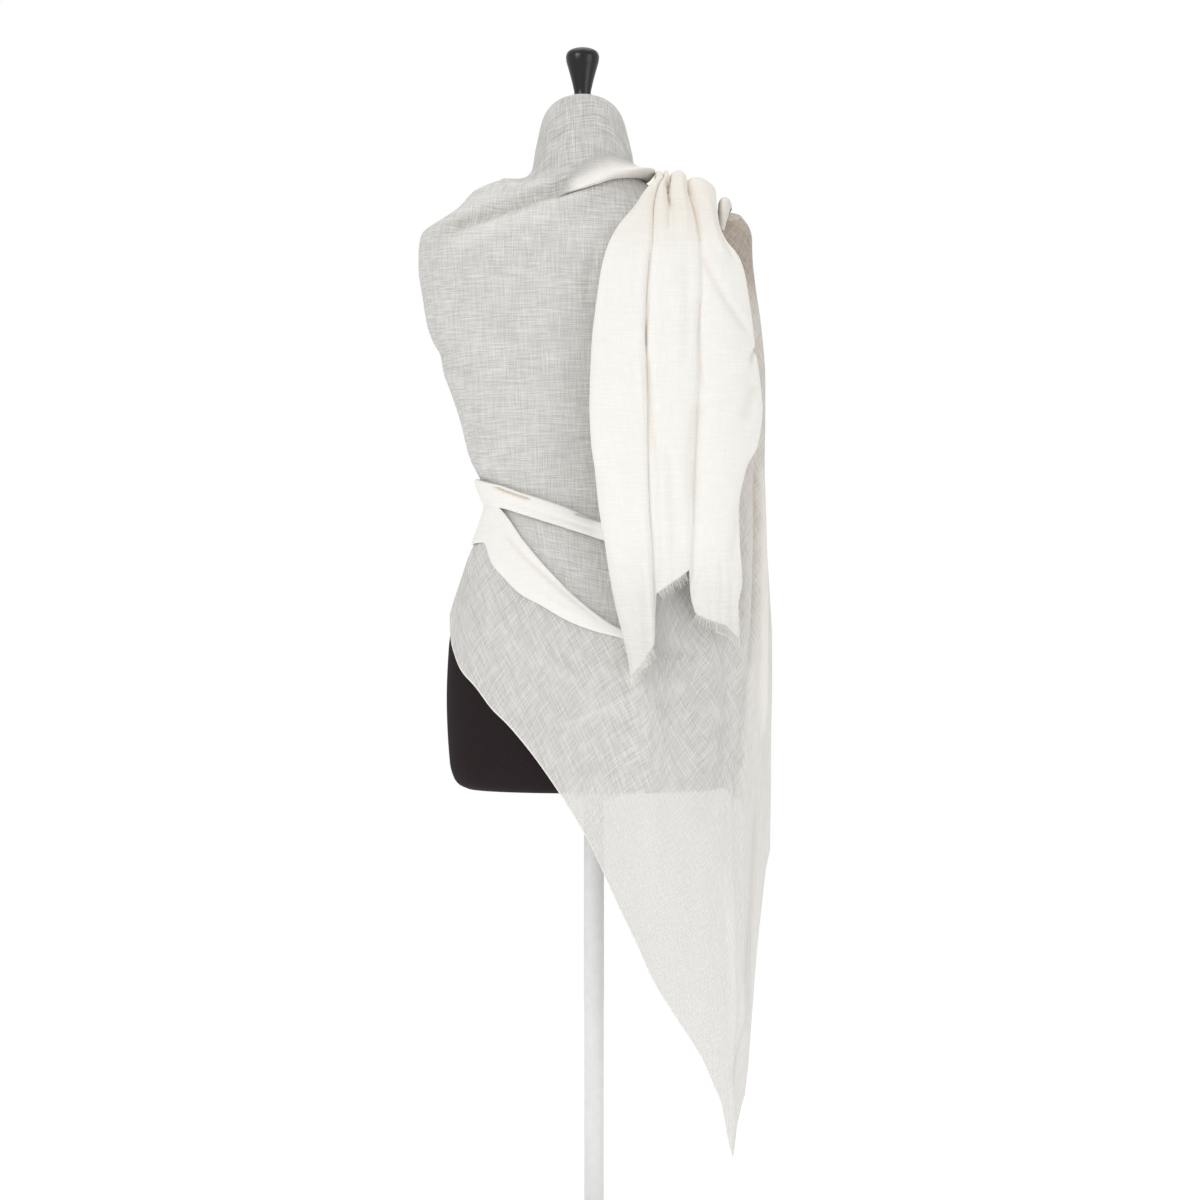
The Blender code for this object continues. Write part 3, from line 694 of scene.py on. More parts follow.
@dataclass(frozen=True)
class Torso:
    """The form's surface: a leaning stack of four-sided ovals, read from a table of sections."""

    datum: float = 0.530
    lean: float = 0.0165
    power: float = 2.2
    top: float = 0.7985
    fine_rows: int = 600
    sections: Table = field(default_factory=lambda: {
        "height": (0.006, 0.010, 0.018, 0.036, 0.100, 0.168, 0.206, 0.243, 0.271, 0.292,
                   0.311, 0.331, 0.355, 0.385, 0.430, 0.461, 0.490, 0.508, 0.520, 0.540,
                   0.575, 0.600, 0.628, 0.640, 0.650, 0.659, 0.668, 0.678, 0.688, 0.700,
                   0.708, 0.715, 0.735, 0.755, 0.772, 0.785, 0.794, 0.7985),
        "half_width": (0.145, 0.154, 0.1605, 0.1650, 0.1675, 0.1640, 0.1570, 0.145, 0.135, 0.1255,
                       0.1175, 0.1130, 0.120, 0.133, 0.1440, 0.1535, 0.162, 0.1665, 0.173, 0.178,
                       0.183, 0.1865, 0.1862, 0.184, 0.172, 0.156, 0.133, 0.108, 0.084, 0.066,
                       0.0590, 0.0560, 0.0525, 0.0480, 0.0435, 0.0360, 0.0245, 0.0125),
        "back": (0.090, 0.098, 0.104, 0.109, 0.113, 0.108, 0.101, 0.092, 0.087, 0.083,
                 0.080, 0.079, 0.080, 0.084, 0.090, 0.094, 0.097, 0.099, 0.100, 0.101,
                 0.102, 0.098, 0.089, 0.083, 0.077, 0.071, 0.065, 0.060, 0.056, 0.053,
                 0.0515, 0.0505, 0.0485, 0.0460, 0.0425, 0.0355, 0.0245, 0.0125),
        "front": (0.084, 0.090, 0.094, 0.097, 0.098, 0.096, 0.094, 0.091, 0.089, 0.087,
                  0.085, 0.084, 0.086, 0.092, 0.104, 0.116, 0.123, 0.1235, 0.122, 0.117,
                  0.105, 0.096, 0.083, 0.077, 0.070, 0.064, 0.059, 0.055, 0.052, 0.051,
                  0.0508, 0.0505, 0.0495, 0.0470, 0.0430, 0.0355, 0.0245, 0.0125),
    })

    def oval(self, angle: Array, right: Array, left: Array, back: Array, front: Array) -> Array:
        """Radius of a superellipse: |cos / a| and |sin / b| to the power n add up to one.

        Args:
            angle: where round the axis.
            right: half size towards +X.
            left: half size towards -X.
            back: half size towards -Y.
            front: half size towards +Y.

        Returns:
            The radius at each angle.
        """
        c, s = np.cos(angle), np.sin(angle)
        half_x, half_y = np.where(c >= 0, right, left), np.where(s >= 0, front, back)
        return (np.abs(c / half_x) ** self.power + np.abs(s / half_y) ** self.power) ** (-1 / self.power)

    def radius(self, angle: Array, height: Array) -> Array:
        """The form's radius at an angle and a height."""
        wide, back, front = (read(self.sections, "height", name, height)
                             for name in ("half_width", "back", "front"))
        return self.oval(angle, wide, wide, back, front)

    def place(self, angle: Array, radius: Array, height: Array) -> Array:
        """Point at an angle, radius and height round the form's leaning axis.

        Args:
            angle: where round the axis.
            radius: how far from it.
            height: height above the datum.

        Returns:
            The points.
        """
        angle, radius, height = np.broadcast_arrays(angle, radius, height)
        shift = self.lean * np.maximum(height, 0)
        return np.stack((radius * np.cos(angle) - shift, radius * np.sin(angle), self.datum + height), -1)

    def skin(self, angle: Array, height: Array) -> Array:
        """Point of the form's own surface at an angle and a height."""
        return self.place(angle, self.radius(angle, height), height)

    def rows(self, low: float, high: float, count: int) -> Array:
        """Heights whose rows lie evenly along the form's side.

        Args:
            low: the first height.
            high: the last height.
            count: how many.

        Returns:
            The heights.
        """
        fine = np.linspace(low, high, self.fine_rows)
        wide = read(self.sections, "height", "half_width", fine)
        length = np.concatenate(([0], np.cumsum(np.hypot(np.diff(fine), np.diff(wide)))))
        return np.interp(np.linspace(0, length[-1], count), length, fine)


TORSO = Torso()


def tube_angles(corner: float | None = None, step: float = 1.5) -> Array:
    """Degrees of a tube's columns, from the middle of the front round by the left and the back.

    Args:
        corner: an angle that has to be one of the columns, if any.
        step: about how far apart the columns are.

    Returns:
        Angles from -270 up to but not including 90.
    """
    knots = (-270.0, 90.0) if corner is None else (-270.0, corner, 90.0)
    runs = [np.linspace(a, b, int((b - a) / step) + 1)[:-1] for a, b in zip(knots[:-1], knots[1:])]
    return np.concatenate(runs)


def turn_degrees(degrees: Array) -> Array:
    """Degrees brought between -180 and 180."""
    return (degrees + 180) % 360 - 180


@dataclass(frozen=True)
class TurnedPart:
    """A turned solid: a profile carried round an upright axis, closed by two flat ends."""

    name: str
    node: str
    heights: Array | tuple[float, ...]
    radii: Array | tuple[float, ...]
    middle: float = 0.0
    sides: int = 72
    sharp: float = 50.0

    def build(self, finish: bpy.types.Material, slot: str) -> bpy.types.Object:
        """The solid's object.

        Args:
            finish: its material.
            slot: the name of its finish; not used.

        Returns:
            The object.
        """
        angle = np.radians(np.arange(self.sides) * 360 / self.sides)
        radii, heights = np.asarray(self.radii)[:, None], np.asarray(self.heights)[:, None]
        ring = np.broadcast_arrays(self.middle + radii * np.cos(angle), radii * np.sin(angle), heights)
        piece = add_object(self.name, np.stack(ring, -1), turned_faces(len(radii), self.sides), finish)
        piece.data.set_sharp_from_angle(angle=math.radians(self.sharp))
        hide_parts(self.node)
        return piece


@dataclass(frozen=True)
class DressForm:
    """The limbless form, its knob, pole and round foot."""

    rows: int = 150
    foot_rows: int = 15
    column_step: float = 2.5
    foot_top: float = 0.036
    girth: float = 0.0026
    form_foot: float = 0.006
    touch: float = 0.0003
    bevel: float = 0.003
    base_radius: float = 0.170
    base_thick: float = 0.012
    base_lip: float = 0.0008
    pole_radius: float = 0.0115
    collar_radius: float = 0.024
    collar_height: float = 0.030
    flare_share: float = 0.8
    flare_rows: int = 12
    socket_radius: float = 0.032
    socket_height: float = 0.012
    ring_radius: float = 0.0122
    ring_height: float = 0.0027
    ring_bevel: float = 0.0006
    knob_rows: int = 44
    knob: Table = field(default_factory=lambda: {
        "height": (0.0035, 0.0070, 0.0150, 0.0250, 0.0340, 0.0430, 0.0475, 0.0520, 0.0560, 0.0580),
        "radius": (0.0095, 0.0097, 0.0113, 0.0138, 0.0163, 0.0187, 0.0191, 0.0178, 0.0128, 0.0050),
    })

    def body(self, finish: bpy.types.Material) -> bpy.types.Object:
        """The covered form: the oval sections at fine steps, closed at top and bottom.

        Args:
            finish: its material.

        Returns:
            The object.
        """
        foot = np.linspace(self.form_foot, self.foot_top, self.foot_rows + 1)[:-1]
        heights = np.concatenate((foot, TORSO.rows(self.foot_top, TORSO.top, self.rows)))
        angle, height = np.meshgrid(np.radians(tube_angles(step=self.column_step)), heights)
        piece = add_object("form_cover", TORSO.skin(angle, height), turned_faces(*angle.shape), finish)
        lay_thread(piece, at_corners(piece, np.stack((np.degrees(angle) * self.girth, height), -1)))
        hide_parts("form_body")
        return piece

    def stand(self, finish: bpy.types.Material) -> list[bpy.types.Object]:
        """Foot, collar, pole and the socket under the form.

        Args:
            finish: their material.

        Returns:
            The four objects, from the floor up.
        """
        bevel, lip, wide, thick = self.bevel, self.base_lip, self.base_radius, self.base_thick
        floor = thick + self.touch
        top = TORSO.datum + self.form_foot - self.touch - self.socket_height
        neck = self.pole_radius + bevel
        share = np.linspace(0, 1, self.flare_rows)
        flare = neck + (self.collar_radius - neck) * (1 - share) ** 3
        flare_height = self.collar_height * self.flare_share
        collar_rows = np.append(floor + share * flare_height, floor + self.collar_height)
        parts = (
            TurnedPart("foot_plate", "base_plate", (0, lip, thick - bevel, thick - 0.3 * bevel, thick),
                       (wide - lip, wide, wide, wide - bevel, wide - 3 * bevel), sides=144),
            TurnedPart("foot_collar", "pole_collar", collar_rows, np.append(flare, flare[-1])),
            TurnedPart("pole_tube", "pole", (floor + self.collar_height + self.touch, top - self.touch),
                       (self.pole_radius, self.pole_radius), sides=48),
            TurnedPart("form_socket", "pole_socket",
                       (top, top + bevel, top + 2 * bevel, top + self.socket_height),
                       (self.socket_radius - 2 * bevel, self.socket_radius - 0.6 * bevel,
                        self.socket_radius, self.socket_radius)),
        )
        return [part.build(finish, "white_lacquer") for part in parts]

    def knob_parts(self, finish: bpy.types.Material) -> list[bpy.types.Object]:
        """The ring on the form's crown, and the knob on it.

        Args:
            finish: their material.

        Returns:
            The two objects.
        """
        crown, middle = TORSO.datum + TORSO.top + self.touch, -TORSO.lean * TORSO.top
        bevel, narrow = self.ring_bevel, self.ring_radius - self.ring_bevel
        fine = np.linspace(self.knob["height"][0], self.knob["height"][-1], self.knob_rows)
        radii = read(self.knob, "height", "radius", fine)
        parts = (
            TurnedPart("knob_ring", "knob_collar",
                       crown + np.array((0, bevel, self.ring_height - bevel, self.ring_height)),
                       (narrow, self.ring_radius, self.ring_radius, narrow), middle, 64),
            TurnedPart("knob", "neck_knob", crown + fine, radii, middle, 64),
        )
        return [part.build(finish, "black_lacquer") for part in parts]


@dataclass(frozen=True)
class NeckWrap:
    """The stretch round neck, shoulders, back and front, down to the waist.

    Each Span is two heights that a change of the cloth is eased between.
    """

    seat: float = 0.0016
    slack: float = 0.0014
    slack_rise: float = 0.05
    least: float = 0.0009
    waist: float = 0.345
    rows: int = 130
    low_rows: int = 16
    flat: tuple[float, float] = (0.98, 0.46)
    shoulder: float = 0.60
    lean_span: Span = (0.30, 0.35)
    # How closely the cloth lies: at the neck, below the shoulders, and at the crown; then painted
    # highlight on the creases' ridges, painted shade in their troughs, and painted warm shade in the
    # troughs
    close: float = 0.11
    close_below: float = 0.16
    shoulder_span: Span = (0.62, 0.70)
    close_crown: float = 0.5
    crown_span: Span = (0.792, 0.798)
    crease_painted_light: float = 0.2
    ridge: float = 0.003
    painted_shade_tint: float = 0.25
    lower_edge: Table = field(default_factory=lambda: {
        "angle": (-180, -160, -144, -126, -108, -90, -78, -70, -63, -57, -51, -36, 0, 90, 180),
        "height": (0.283, 0.282, 0.270, 0.244, 0.216, 0.189, 0.176, 0.174, 0.184, 0.225, 0.268,
                   0.285, 0.290, 0.300, 0.283),
    })
    folds: Table = field(default_factory=lambda: {
        "x1": (-0.126, 0.020, -0.060, 0.030, -0.150, -0.125, -0.060, -0.120, -0.188),
        "y1": (-0.004, -0.062, -0.072, -0.088, -0.060, -0.050, 0.066, 0.050, -0.010),
        "h1": (0.674, 0.684, 0.664, 0.648, 0.470, 0.420, 0.676, 0.664, 0.530),
        "x2": (-0.100, -0.060, -0.165, -0.110, -0.105, -0.060, 0.060, -0.080, -0.192),
        "y2": (-0.012, -0.072, -0.050, -0.094, -0.070, -0.080, 0.060, 0.100, -0.010),
        "h2": (0.688, 0.664, 0.640, 0.612, 0.385, 0.370, 0.676, 0.560, 0.610),
        "width": (0.022, 0.013, 0.014, 0.016, 0.018, 0.014, 0.016, 0.018, 0.026),
        "rise": (0.0150, 0.0050, 0.0045, 0.0030, 0.0030, 0.0020, 0.0050, 0.0040, 0.0020),
    })
    back_creases: Creases = Creases((
        (426, 230, 515, 204, 606, 165, 7, 1.2, -7.5),
        (438, 220, 500, 194, 566, 174, 9, 1, 4.5),
        (428, 244, 520, 222, 604, 184, 9, 1, 4),
        (498, 184, 518, 191, 531, 182, 4, 1, -2.2),
        (545, 150, 580, 158, 622, 142, 3, 1, -1),
        (540, 128, 580, 138, 618, 126, 3.5, 1, 1),
        (602, 238, 592, 262, 586, 310, 5, 1, -2),
        (430, 262, 447, 300, 440, 345, 7, 1.4, 1.6),
        (424, 318, 446, 352, 480, 385, 5, 1, -2),
        (432, 350, 455, 376, 505, 392, 6, 1.5, 1.7),
        (466, 430, 500, 452, 560, 458, 5, 1, -1.6),
        (476, 472, 512, 440, 566, 412, 8, 1.4, 1.8),
        (492, 476, 540, 474, 598, 488, 4, 1, -2),
        (500, 466, 550, 460, 598, 468, 5, 1, 1.5),
        (505, 290, 516, 360, 508, 430, 12, 1.5, -1.4),
        (562, 220, 552, 320, 562, 420, 14, 1, 1.4),
        (545, 528, 575, 542, 600, 562, 4, 1, 1.1),
        (520, 530, 560, 570, 600, 604, 4, 1, -1.1),
        (448, 240, 500, 226, 575, 214, 7, 1, 1.8),
        (560, 262, 500, 270, 436, 262, 10, 1, -1.2),
    ), plane=-0.09)
    front_creases: Creases = Creases((
        (-120, 620, -30, 560, 90, 500, 12, 1.3, 3),
        (-130, 570, -40, 510, 70, 440, 9, 1, -2),
        (-100, 500, 0, 440, 100, 400, 10, 1, 2.5),
        (-120, 440, -20, 400, 90, 370, 7, 1.4, -2),
        (-50, 660, 0, 630, 70, 640, 8, 1, 2.5),
        (-40, 720, 0, 705, 45, 715, 5, 1, 1),
        (20, 610, 50, 580, 120, 590, 7, 1, -2),
        (-150, 600, -120, 530, -110, 450, 9, 1.3, 2),
    ))

    def fold_rise(self, points: Array) -> Array:
        """Height of the main folds: each falls off from a straight line in space like a bell.

        Args:
            points: points of the form's surface.

        Returns:
            The summed height at each point.
        """
        total = np.zeros(points.shape[:-1])
        for x1, y1, h1, x2, y2, h2, width, rise in zip(*self.folds.values()):
            start = np.array((x1, y1, TORSO.datum + h1))
            line = np.array((x2, y2, TORSO.datum + h2)) - start
            along = np.clip((points - start) @ line / (line @ line), 0, 1)
            apart = np.linalg.norm(points - start - along[..., None] * line, axis=-1)
            total += rise * np.exp(-(apart / width) ** 2)
        return total

    def stand(self, skin: Array, height: Array) -> tuple[Array, Array]:
        """How far the cloth stands off the form, and the share of it that is creases.

        Args:
            skin: points of the form's surface.
            height: their heights above the datum.

        Returns:
            The distance off the form, and the creases' rise.
        """
        creases = blended(self.back_creases, self.front_creases, skin, height)[0]
        raised = self.seat + self.slack * ease(self.waist, self.waist + self.slack_rise, height)
        return np.maximum(raised + self.fold_rise(skin) + creases, self.least), creases

    def layers(self, height: Array, creases: Array) -> Array:
        """How closely the cloth lies: closer below the shoulders and at the crown, with a painted highlight
        on ridges and painted shade in troughs.

        Args:
            height: heights above the datum.
            creases: rise of the creases.

        Returns:
            The layers at each point.
        """
        level = self.close + self.close_below * (1 - ease(*self.shoulder_span, height))
        level = level + self.close_crown * ease(*self.crown_span, height)
        # Painted highlight on the creases' ridges and painted shade in their troughs.
        return np.maximum(level + self.crease_painted_light * (trough(-creases, self.ridge) - trough(creases)), 0)

    def build(self, finish: bpy.types.Material) -> bpy.types.Object:
        """The stretch's object: the form's surface, moved out along its normals.

        Args:
            finish: the cloth's material.

        Returns:
            The object.
        """
        degrees = tube_angles()
        lower = read(self.lower_edge, "angle", "height", turn_degrees(degrees))
        high = TORSO.rows(self.waist, TORSO.top, self.rows)
        low = lower + (self.waist - lower) * np.linspace(0, 1, self.low_rows)[:-1, None]
        height = np.concatenate((low, np.repeat(high[:, None], len(degrees), 1)))
        skin = TORSO.skin(np.repeat(np.radians(degrees)[None], len(height), 0), height)
        stand, creases = self.stand(skin, height)
        grid = skin + outward(skin, Closure.TUBE) * stand[..., None]
        length = running_length(grid, 0)
        start = int(np.argmin(np.abs(height[:, 0] - self.shoulder)))
        up = np.where(height > self.shoulder, self.shoulder + length - length[start], height)
        lean = math.tan(math.radians(Weave.LEANING.value)) * (1 - ease(*self.lean_span, height))
        back = int(np.argmin(np.abs(degrees + 90)))
        # The second value paints warm shade in the creases' troughs.
        piece = Sheet("back_and_neck_cloth", grid, Closure.TUBE, back, self.layers(height, creases),
                      self.painted_shade_tint * trough(creases), up + lean * skin[..., 0]).build(finish)
        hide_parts("back_and_neck_wrap")
        return piece


@dataclass(frozen=True)
class HipWrap:
    """The stretch that falls from the right shoulder, goes round the hips and ends in the tail.

    Each Span is two angles, heights or places across that a change is eased between.
    """

    seat: float = 0.0046
    hip_line: float = 0.100
    corner: float = -26.0
    rows: int = 150
    # Where it hangs in pleats, and where it hangs clear of the form
    pleat_depth: float = 0.008
    pleats: int = 3
    pleat_top: Span = (0.50, 0.62)
    pleat_foot: Span = (-0.30, 0.05)
    side_right: Span = (-62, -40)
    side_front: Span = (40, 62)
    clear_right: Span = (-88, -58)
    clear_left: Span = (169, 180)
    snug_side: Span = (146, 166)
    snug_height: Span = (0.23, 0.28)
    settle: float = 0.015
    least: float = 0.0015
    form_foot: float = 0.006
    flat: tuple[float, float] = (0.98, 0.48)
    # How closely the cloth lies: everywhere, on the right, at the selvedge and at the left edge; then
    # painted shade in troughs and painted highlight on ridges
    close: float = 0.24
    close_right: float = 0.45
    right_front: Span = (0.06, 0.182)
    right_back: Span = (0.158, 0.182)
    thinner_high: float = 0.5
    thin_height: Span = (0.25, 0.50)
    top_span: Span = (0.54, 0.62)
    selvedge: float = 0.0030
    selvedge_close: float = 0.7
    close_edge: float = 0.3
    edge_side: Span = (140, 165)
    edge_height: Span = (0.255, 0.290)
    trough_sheer_painted_shade: float = 0.14
    trough_sheer_painted_shade_right: float = 0.3
    ridge: float = 0.0012
    ridge_painted_highlight: float = 0.05
    ridge_painted_highlight_rear: float = 0.25
    # Painted warm shade: in troughs, and on the right side, which is turned from the key lamp
    trough_painted_shade_tint: float = 0.05
    trough_painted_shade_tint_right: float = 0.22
    right_painted_shade_tint: float = 0.04
    right_painted_shade_tint_high: float = 0.36
    painted_shade_tint_height: Span = (0.0, 0.45)
    upper_edge: Table = field(default_factory=lambda: {
        "angle": (-180, -160, -144, -126, -108, -90, -78, -70, -64, -58, -52, -43, -33, 33, 48,
                  66, 90, 120, 150, 162, 171, 180),
        "height": (0.291, 0.290, 0.280, 0.254, 0.226, 0.199, 0.186, 0.184, 0.205, 0.265, 0.380,
                   0.530, 0.662, 0.662, 0.640, 0.590, 0.530, 0.455, 0.400, 0.375, 0.293, 0.291),
    })
    hem: Table = field(default_factory=lambda: {
        "angle": (-180, -172, -163, -157, -148, -140, -133, -122, -108.5, -100, -90, -85, -75,
                  -67, -61, -53, -44, -38, -34, -30.5, -28, -26, -24.5, -21, -18.7, -16.4, -11.8,
                  -8.8, 0, 20, 50, 90, 140, 180),
        "height": (0.208, 0.197, 0.165, 0.144, 0.124, 0.100, 0.0835, 0.0525, 0.0093, -0.0195,
                   -0.0561, -0.079, -0.125, -0.161, -0.192, -0.226, -0.263, -0.291, -0.319,
                   -0.344, -0.385, -0.404, -0.366, -0.328, -0.259, -0.195, -0.117, -0.082,
                   -0.058, -0.010, 0.060, 0.120, 0.170, 0.208),
    })
    hang: Table = field(default_factory=lambda: {
        "height": (-0.420, -0.200, -0.060, 0.000, 0.072, 0.125, 0.178, 0.231, 0.284, 0.337,
                   0.430, 0.478, 0.537, 0.581, 0.616, 0.638, 0.649, 0.662),
        "right": (0.2010, 0.2015, 0.2020, 0.2030, 0.2045, 0.2065, 0.2072, 0.2053, 0.2026, 0.2012,
                  0.2036, 0.2044, 0.2006, 0.1950, 0.1920, 0.1918, 0.1890, 0.1800),
        "left": (0.1000, 0.1000, 0.1000, 0.1000, 0.1000, 0.1200, 0.1450, 0.1500, 0.1400, 0.1275,
                 0.1500, 0.1640, 0.1760, 0.1800, 0.1800, 0.1750, 0.1700, 0.1600),
        "back": (0.1120, 0.1150, 0.1170, 0.1180, 0.1185, 0.1180, 0.1165, 0.1155, 0.1145, 0.1140,
                 0.1145, 0.1150, 0.1140, 0.1110, 0.1040, 0.0970, 0.0900, 0.0800),
        "front": (0.1000, 0.1020, 0.1040, 0.1060, 0.1070, 0.1080, 0.1090, 0.1110, 0.1150, 0.1210,
                  0.1310, 0.1350, 0.1290, 0.1170, 0.1030, 0.0940, 0.0860, 0.0760),
    })
    back_creases: Creases = Creases((
        (524, 737, 595, 713, 650, 684, 3, 1, 1.5),
        (630, 692, 666, 673, 699, 644, 3, 1, 1.3),
        (759, 430, 760, 560, 752, 690, 3, 1, -5),
        (766, 440, 768, 600, 766, 760, 4, 1, 3),
        (751, 640, 746, 740, 738, 810, 4, 1.5, -3),
        (742, 525, 745, 580, 741, 640, 6, 1, -3),
        (735, 700, 722, 770, 700, 830, 9, 1.6, -3),
        (700, 830, 690, 900, 702, 980, 12, 1, -2),
        (760, 780, 757, 900, 746, 1010, 5, 1, -3),
        (725, 850, 735, 960, 742, 1060, 8, 1, 2.4),
        (751, 1017, 740, 1060, 733, 1100, 3, 1, -2),
        (470, 600, 520, 650, 600, 690, 10, 1.5, 0.5),
        (500, 690, 560, 740, 640, 760, 12, 1, -1.4),
        (640, 705, 690, 704, 742, 672, 8, 1, -1.8),
        (652, 650, 690, 656, 740, 636, 6, 1, -2),
        (462, 560, 475, 600, 468, 640, 6, 1, -1.6),
        (482, 548, 502, 592, 545, 622, 5, 1, -1.6),
        (560, 640, 610, 672, 690, 676, 7, 1.4, 0.5),
        (640, 800, 668, 880, 712, 960, 14, 1, 0.6),
    ), plane=-0.11)
    front_creases: Creases = Creases((
        (160, 600, 140, 400, 120, 150, 12, 1, 4),
        (100, 600, 60, 420, 20, 250, 12, 1.4, -4),
        (50, 550, -20, 420, -100, 330, 14, 1, 4),
        (-20, 480, -80, 400, -130, 330, 9, 1, -3),
        (120, 350, 80, 180, 60, 20, 12, 1.3, -3.5),
        (50, 300, 0, 200, -60, 120, 12, 1, 3),
        (-20, 200, -70, 170, -120, 150, 9, 1, -2.5),
        (140, 300, 120, 160, 110, 0, 8, 1.5, 3),
    ))

    def radius(self, degrees: Array, height: Array) -> Array:
        """Radius: snug on the back and left, hanging clear in soft pleats on the right and in front.

        Args:
            degrees: angle of each point.
            height: its height above the datum.

        Returns:
            The radius at each point.
        """
        angle, turned = np.radians(degrees), turn_degrees(degrees)
        snug = TORSO.radius(angle, np.maximum(height, self.hip_line)) + self.seat
        hang = TORSO.oval(angle, *(read(self.hang, "height", side, height)
                                   for side in ("right", "left", "back", "front")))
        share = ease(*self.clear_right, turned) * (1 - ease(*self.clear_left, turned))
        share = share * (1 - ease(*self.snug_side, turned) * ease(*self.snug_height, height))
        clear = np.maximum(hang - snug, 0) * share
        side = ease(*self.side_right, turned) * (1 - ease(*self.side_front, turned))
        wave = (np.cos(self.pleats * 2 * angle) - 1) / 2 * side
        deep = self.pleat_depth * (1 - ease(*self.pleat_top, height)) * ease(*self.pleat_foot, height)
        return snug + clear + deep * wave * ease(0, self.settle, clear)

    def shades(self, x: Array, turned: Array, height: Array, creases: Array,
               rear: Array) -> tuple[Array, Array]:
        """How closely the cloth lies and how warm it is: closer on the right, edge and ridges.

        Args:
            x: how far to the right each point is.
            turned: degrees between -180 and 180 of each column.
            height: heights above the datum.
            creases: rise of the creases.
            rear: how far each point belongs to the back.

        Returns:
            The layers, with painted highlight and shade, and the painted warm shade at each point.
        """
        right = ease(*self.right_front, x) * (1 - rear) + ease(*self.right_back, x) * rear
        top, sunk = ease(*self.top_span, height), trough(creases)
        thinner = 1 - self.thinner_high * ease(*self.thin_height, height)
        # Near the top, where the stretch lies over the right shoulder, the cloth is made sheerer and greyer
        # as painted shade.
        layers = (self.close + self.close_right * right * thinner) * (1 - top)
        # Painted shade in troughs: sheerer, greyer cloth, more so on the right.
        layers = layers - (self.trough_sheer_painted_shade + self.trough_sheer_painted_shade_right * right) * sunk
        layers = layers + self.close_edge * ease(*self.edge_side, turned) * ease(*self.edge_height, height)
        # Painted highlight on the creases' ridges, stronger on the back.
        layers = layers + (self.ridge_painted_highlight + self.ridge_painted_highlight_rear * rear) * trough(-creases, self.ridge)
        layers[:2] += self.selvedge_close
        # Painted warm shade: in troughs, at the top over the right shoulder, and on the right side, more so
        # higher up.
        warm_painted_shade = (self.trough_painted_shade_tint + self.trough_painted_shade_tint_right * right) * sunk + top
        warm_painted_shade = warm_painted_shade + right * (self.right_painted_shade_tint + self.right_painted_shade_tint_high * ease(*self.painted_shade_tint_height, height))
        return np.clip(layers, 0, 1), warm_painted_shade

    def build(self, finish: bpy.types.Material) -> bpy.types.Object:
        """The stretch's object: rows from the hem to the upper edge, moved out by the creases.

        Args:
            finish: the cloth's material.

        Returns:
            The object.
        """
        degrees = tube_angles(self.corner)
        turned = turn_degrees(degrees)
        top = read(self.upper_edge, "angle", "height", turned)
        hem = read(self.hem, "angle", "height", turned) + self.selvedge
        inner = hem + (top - hem) * np.linspace(0, 1, self.rows)[:, None]
        height = np.concatenate(([hem - self.selvedge, hem - self.selvedge / 2], inner))
        angle = np.repeat(np.radians(degrees)[None], len(height), 0)
        radius = self.radius(degrees, height)
        plain = TORSO.place(angle, radius, height)
        creases, rear = blended(self.back_creases, self.front_creases, plain, height)
        form = TORSO.radius(angle, np.maximum(height, self.form_foot)) + self.least
        radius = np.where(height > 0, np.maximum(radius + creases, form), radius + creases)
        grid = TORSO.place(angle, radius, height)
        layers, warm_painted_shade = self.shades(grid[..., 0], turned, height, creases, rear)
        back = int(np.argmin(np.abs(degrees + 90)))
        piece = Sheet("hip_and_tail_cloth", grid, Closure.TUBE, back, layers, warm_painted_shade).build(finish)
        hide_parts("hip_wrap_with_tail")
        return piece


@dataclass(frozen=True)
class WaistBand:
    """A stretch folded to a band round the waist, as a soft flat roll with fold lines along it."""

    name: str
    node: str
    flat: tuple[float, float]
    table: Table
    seat: float = 0.0065
    step: float = 1.0
    spokes: int = 84
    clear: float = 0.0019
    over_hip: Span = (-110, -92)
    squareness: float = 0.6
    creases: Creases = Creases((
        (490, 483, 512, 492, 535, 500, 1.3, 1, -5.5),
        (574, 513, 588, 517, 603, 521, 1.3, 1, -5.5),
        (494, 496, 545, 513, 604, 532, 2.2, 1, -1.4),
        (500, 506, 550, 521, 604, 537, 2.5, 1, 1),
        (495, 516, 530, 560, 602, 616, 4, 1, -1.3),
        (490, 536, 520, 580, 592, 622, 4, 1, 1.2),
        (502, 530, 540, 572, 614, 631, 2.5, 1, -1.2),
        (486, 520, 500, 560, 540, 596, 3, 1, -1),
    ), plane=-0.10)

    def build(self, hip: HipWrap, finish: bpy.types.Material) -> bpy.types.Object:
        """The band's object: a closed flat section swept along its path round the form.

        Args:
            hip: the stretch that the band passes over on the right.
            finish: the cloth's material.

        Returns:
            The object.
        """
        low, high = self.table["angle"][0], self.table["angle"][-1]
        degrees = np.linspace(low, high, int((high - low) / self.step) + 1)[None]
        middle, half, thick = (read(self.table, "angle", column, degrees)
                               for column in ("height", "half_height", "thick"))
        turn = np.linspace(0, 2 * np.pi, self.spokes + 1)[:-1, None]
        outer = turn < np.pi
        height = middle - half * np.cos(turn)
        angle = np.radians(degrees) + 0 * height
        over = (hip.radius(degrees, height) + self.clear) * ease(*self.over_hip, degrees)
        inner = np.maximum(TORSO.radius(angle, height) + self.seat, over)
        plain = TORSO.place(angle, inner, height)
        creases = self.creases.rise(plain[..., 0], height) * (plain[..., 1] < 0) * outer
        bulge = np.where(outer, np.abs(np.sin(turn)), 0.0) ** self.squareness
        grid = TORSO.place(angle, inner + np.maximum(thick * bulge + creases, 0), height)
        centre = degrees.size // 2
        # The last value paints shadow in the creases' troughs, which darkens the slits along the band.
        piece = Sheet(self.name, grid, Closure.ROLL, centre, 1.0, trough(creases)).build(finish)
        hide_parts(self.node)
        return piece


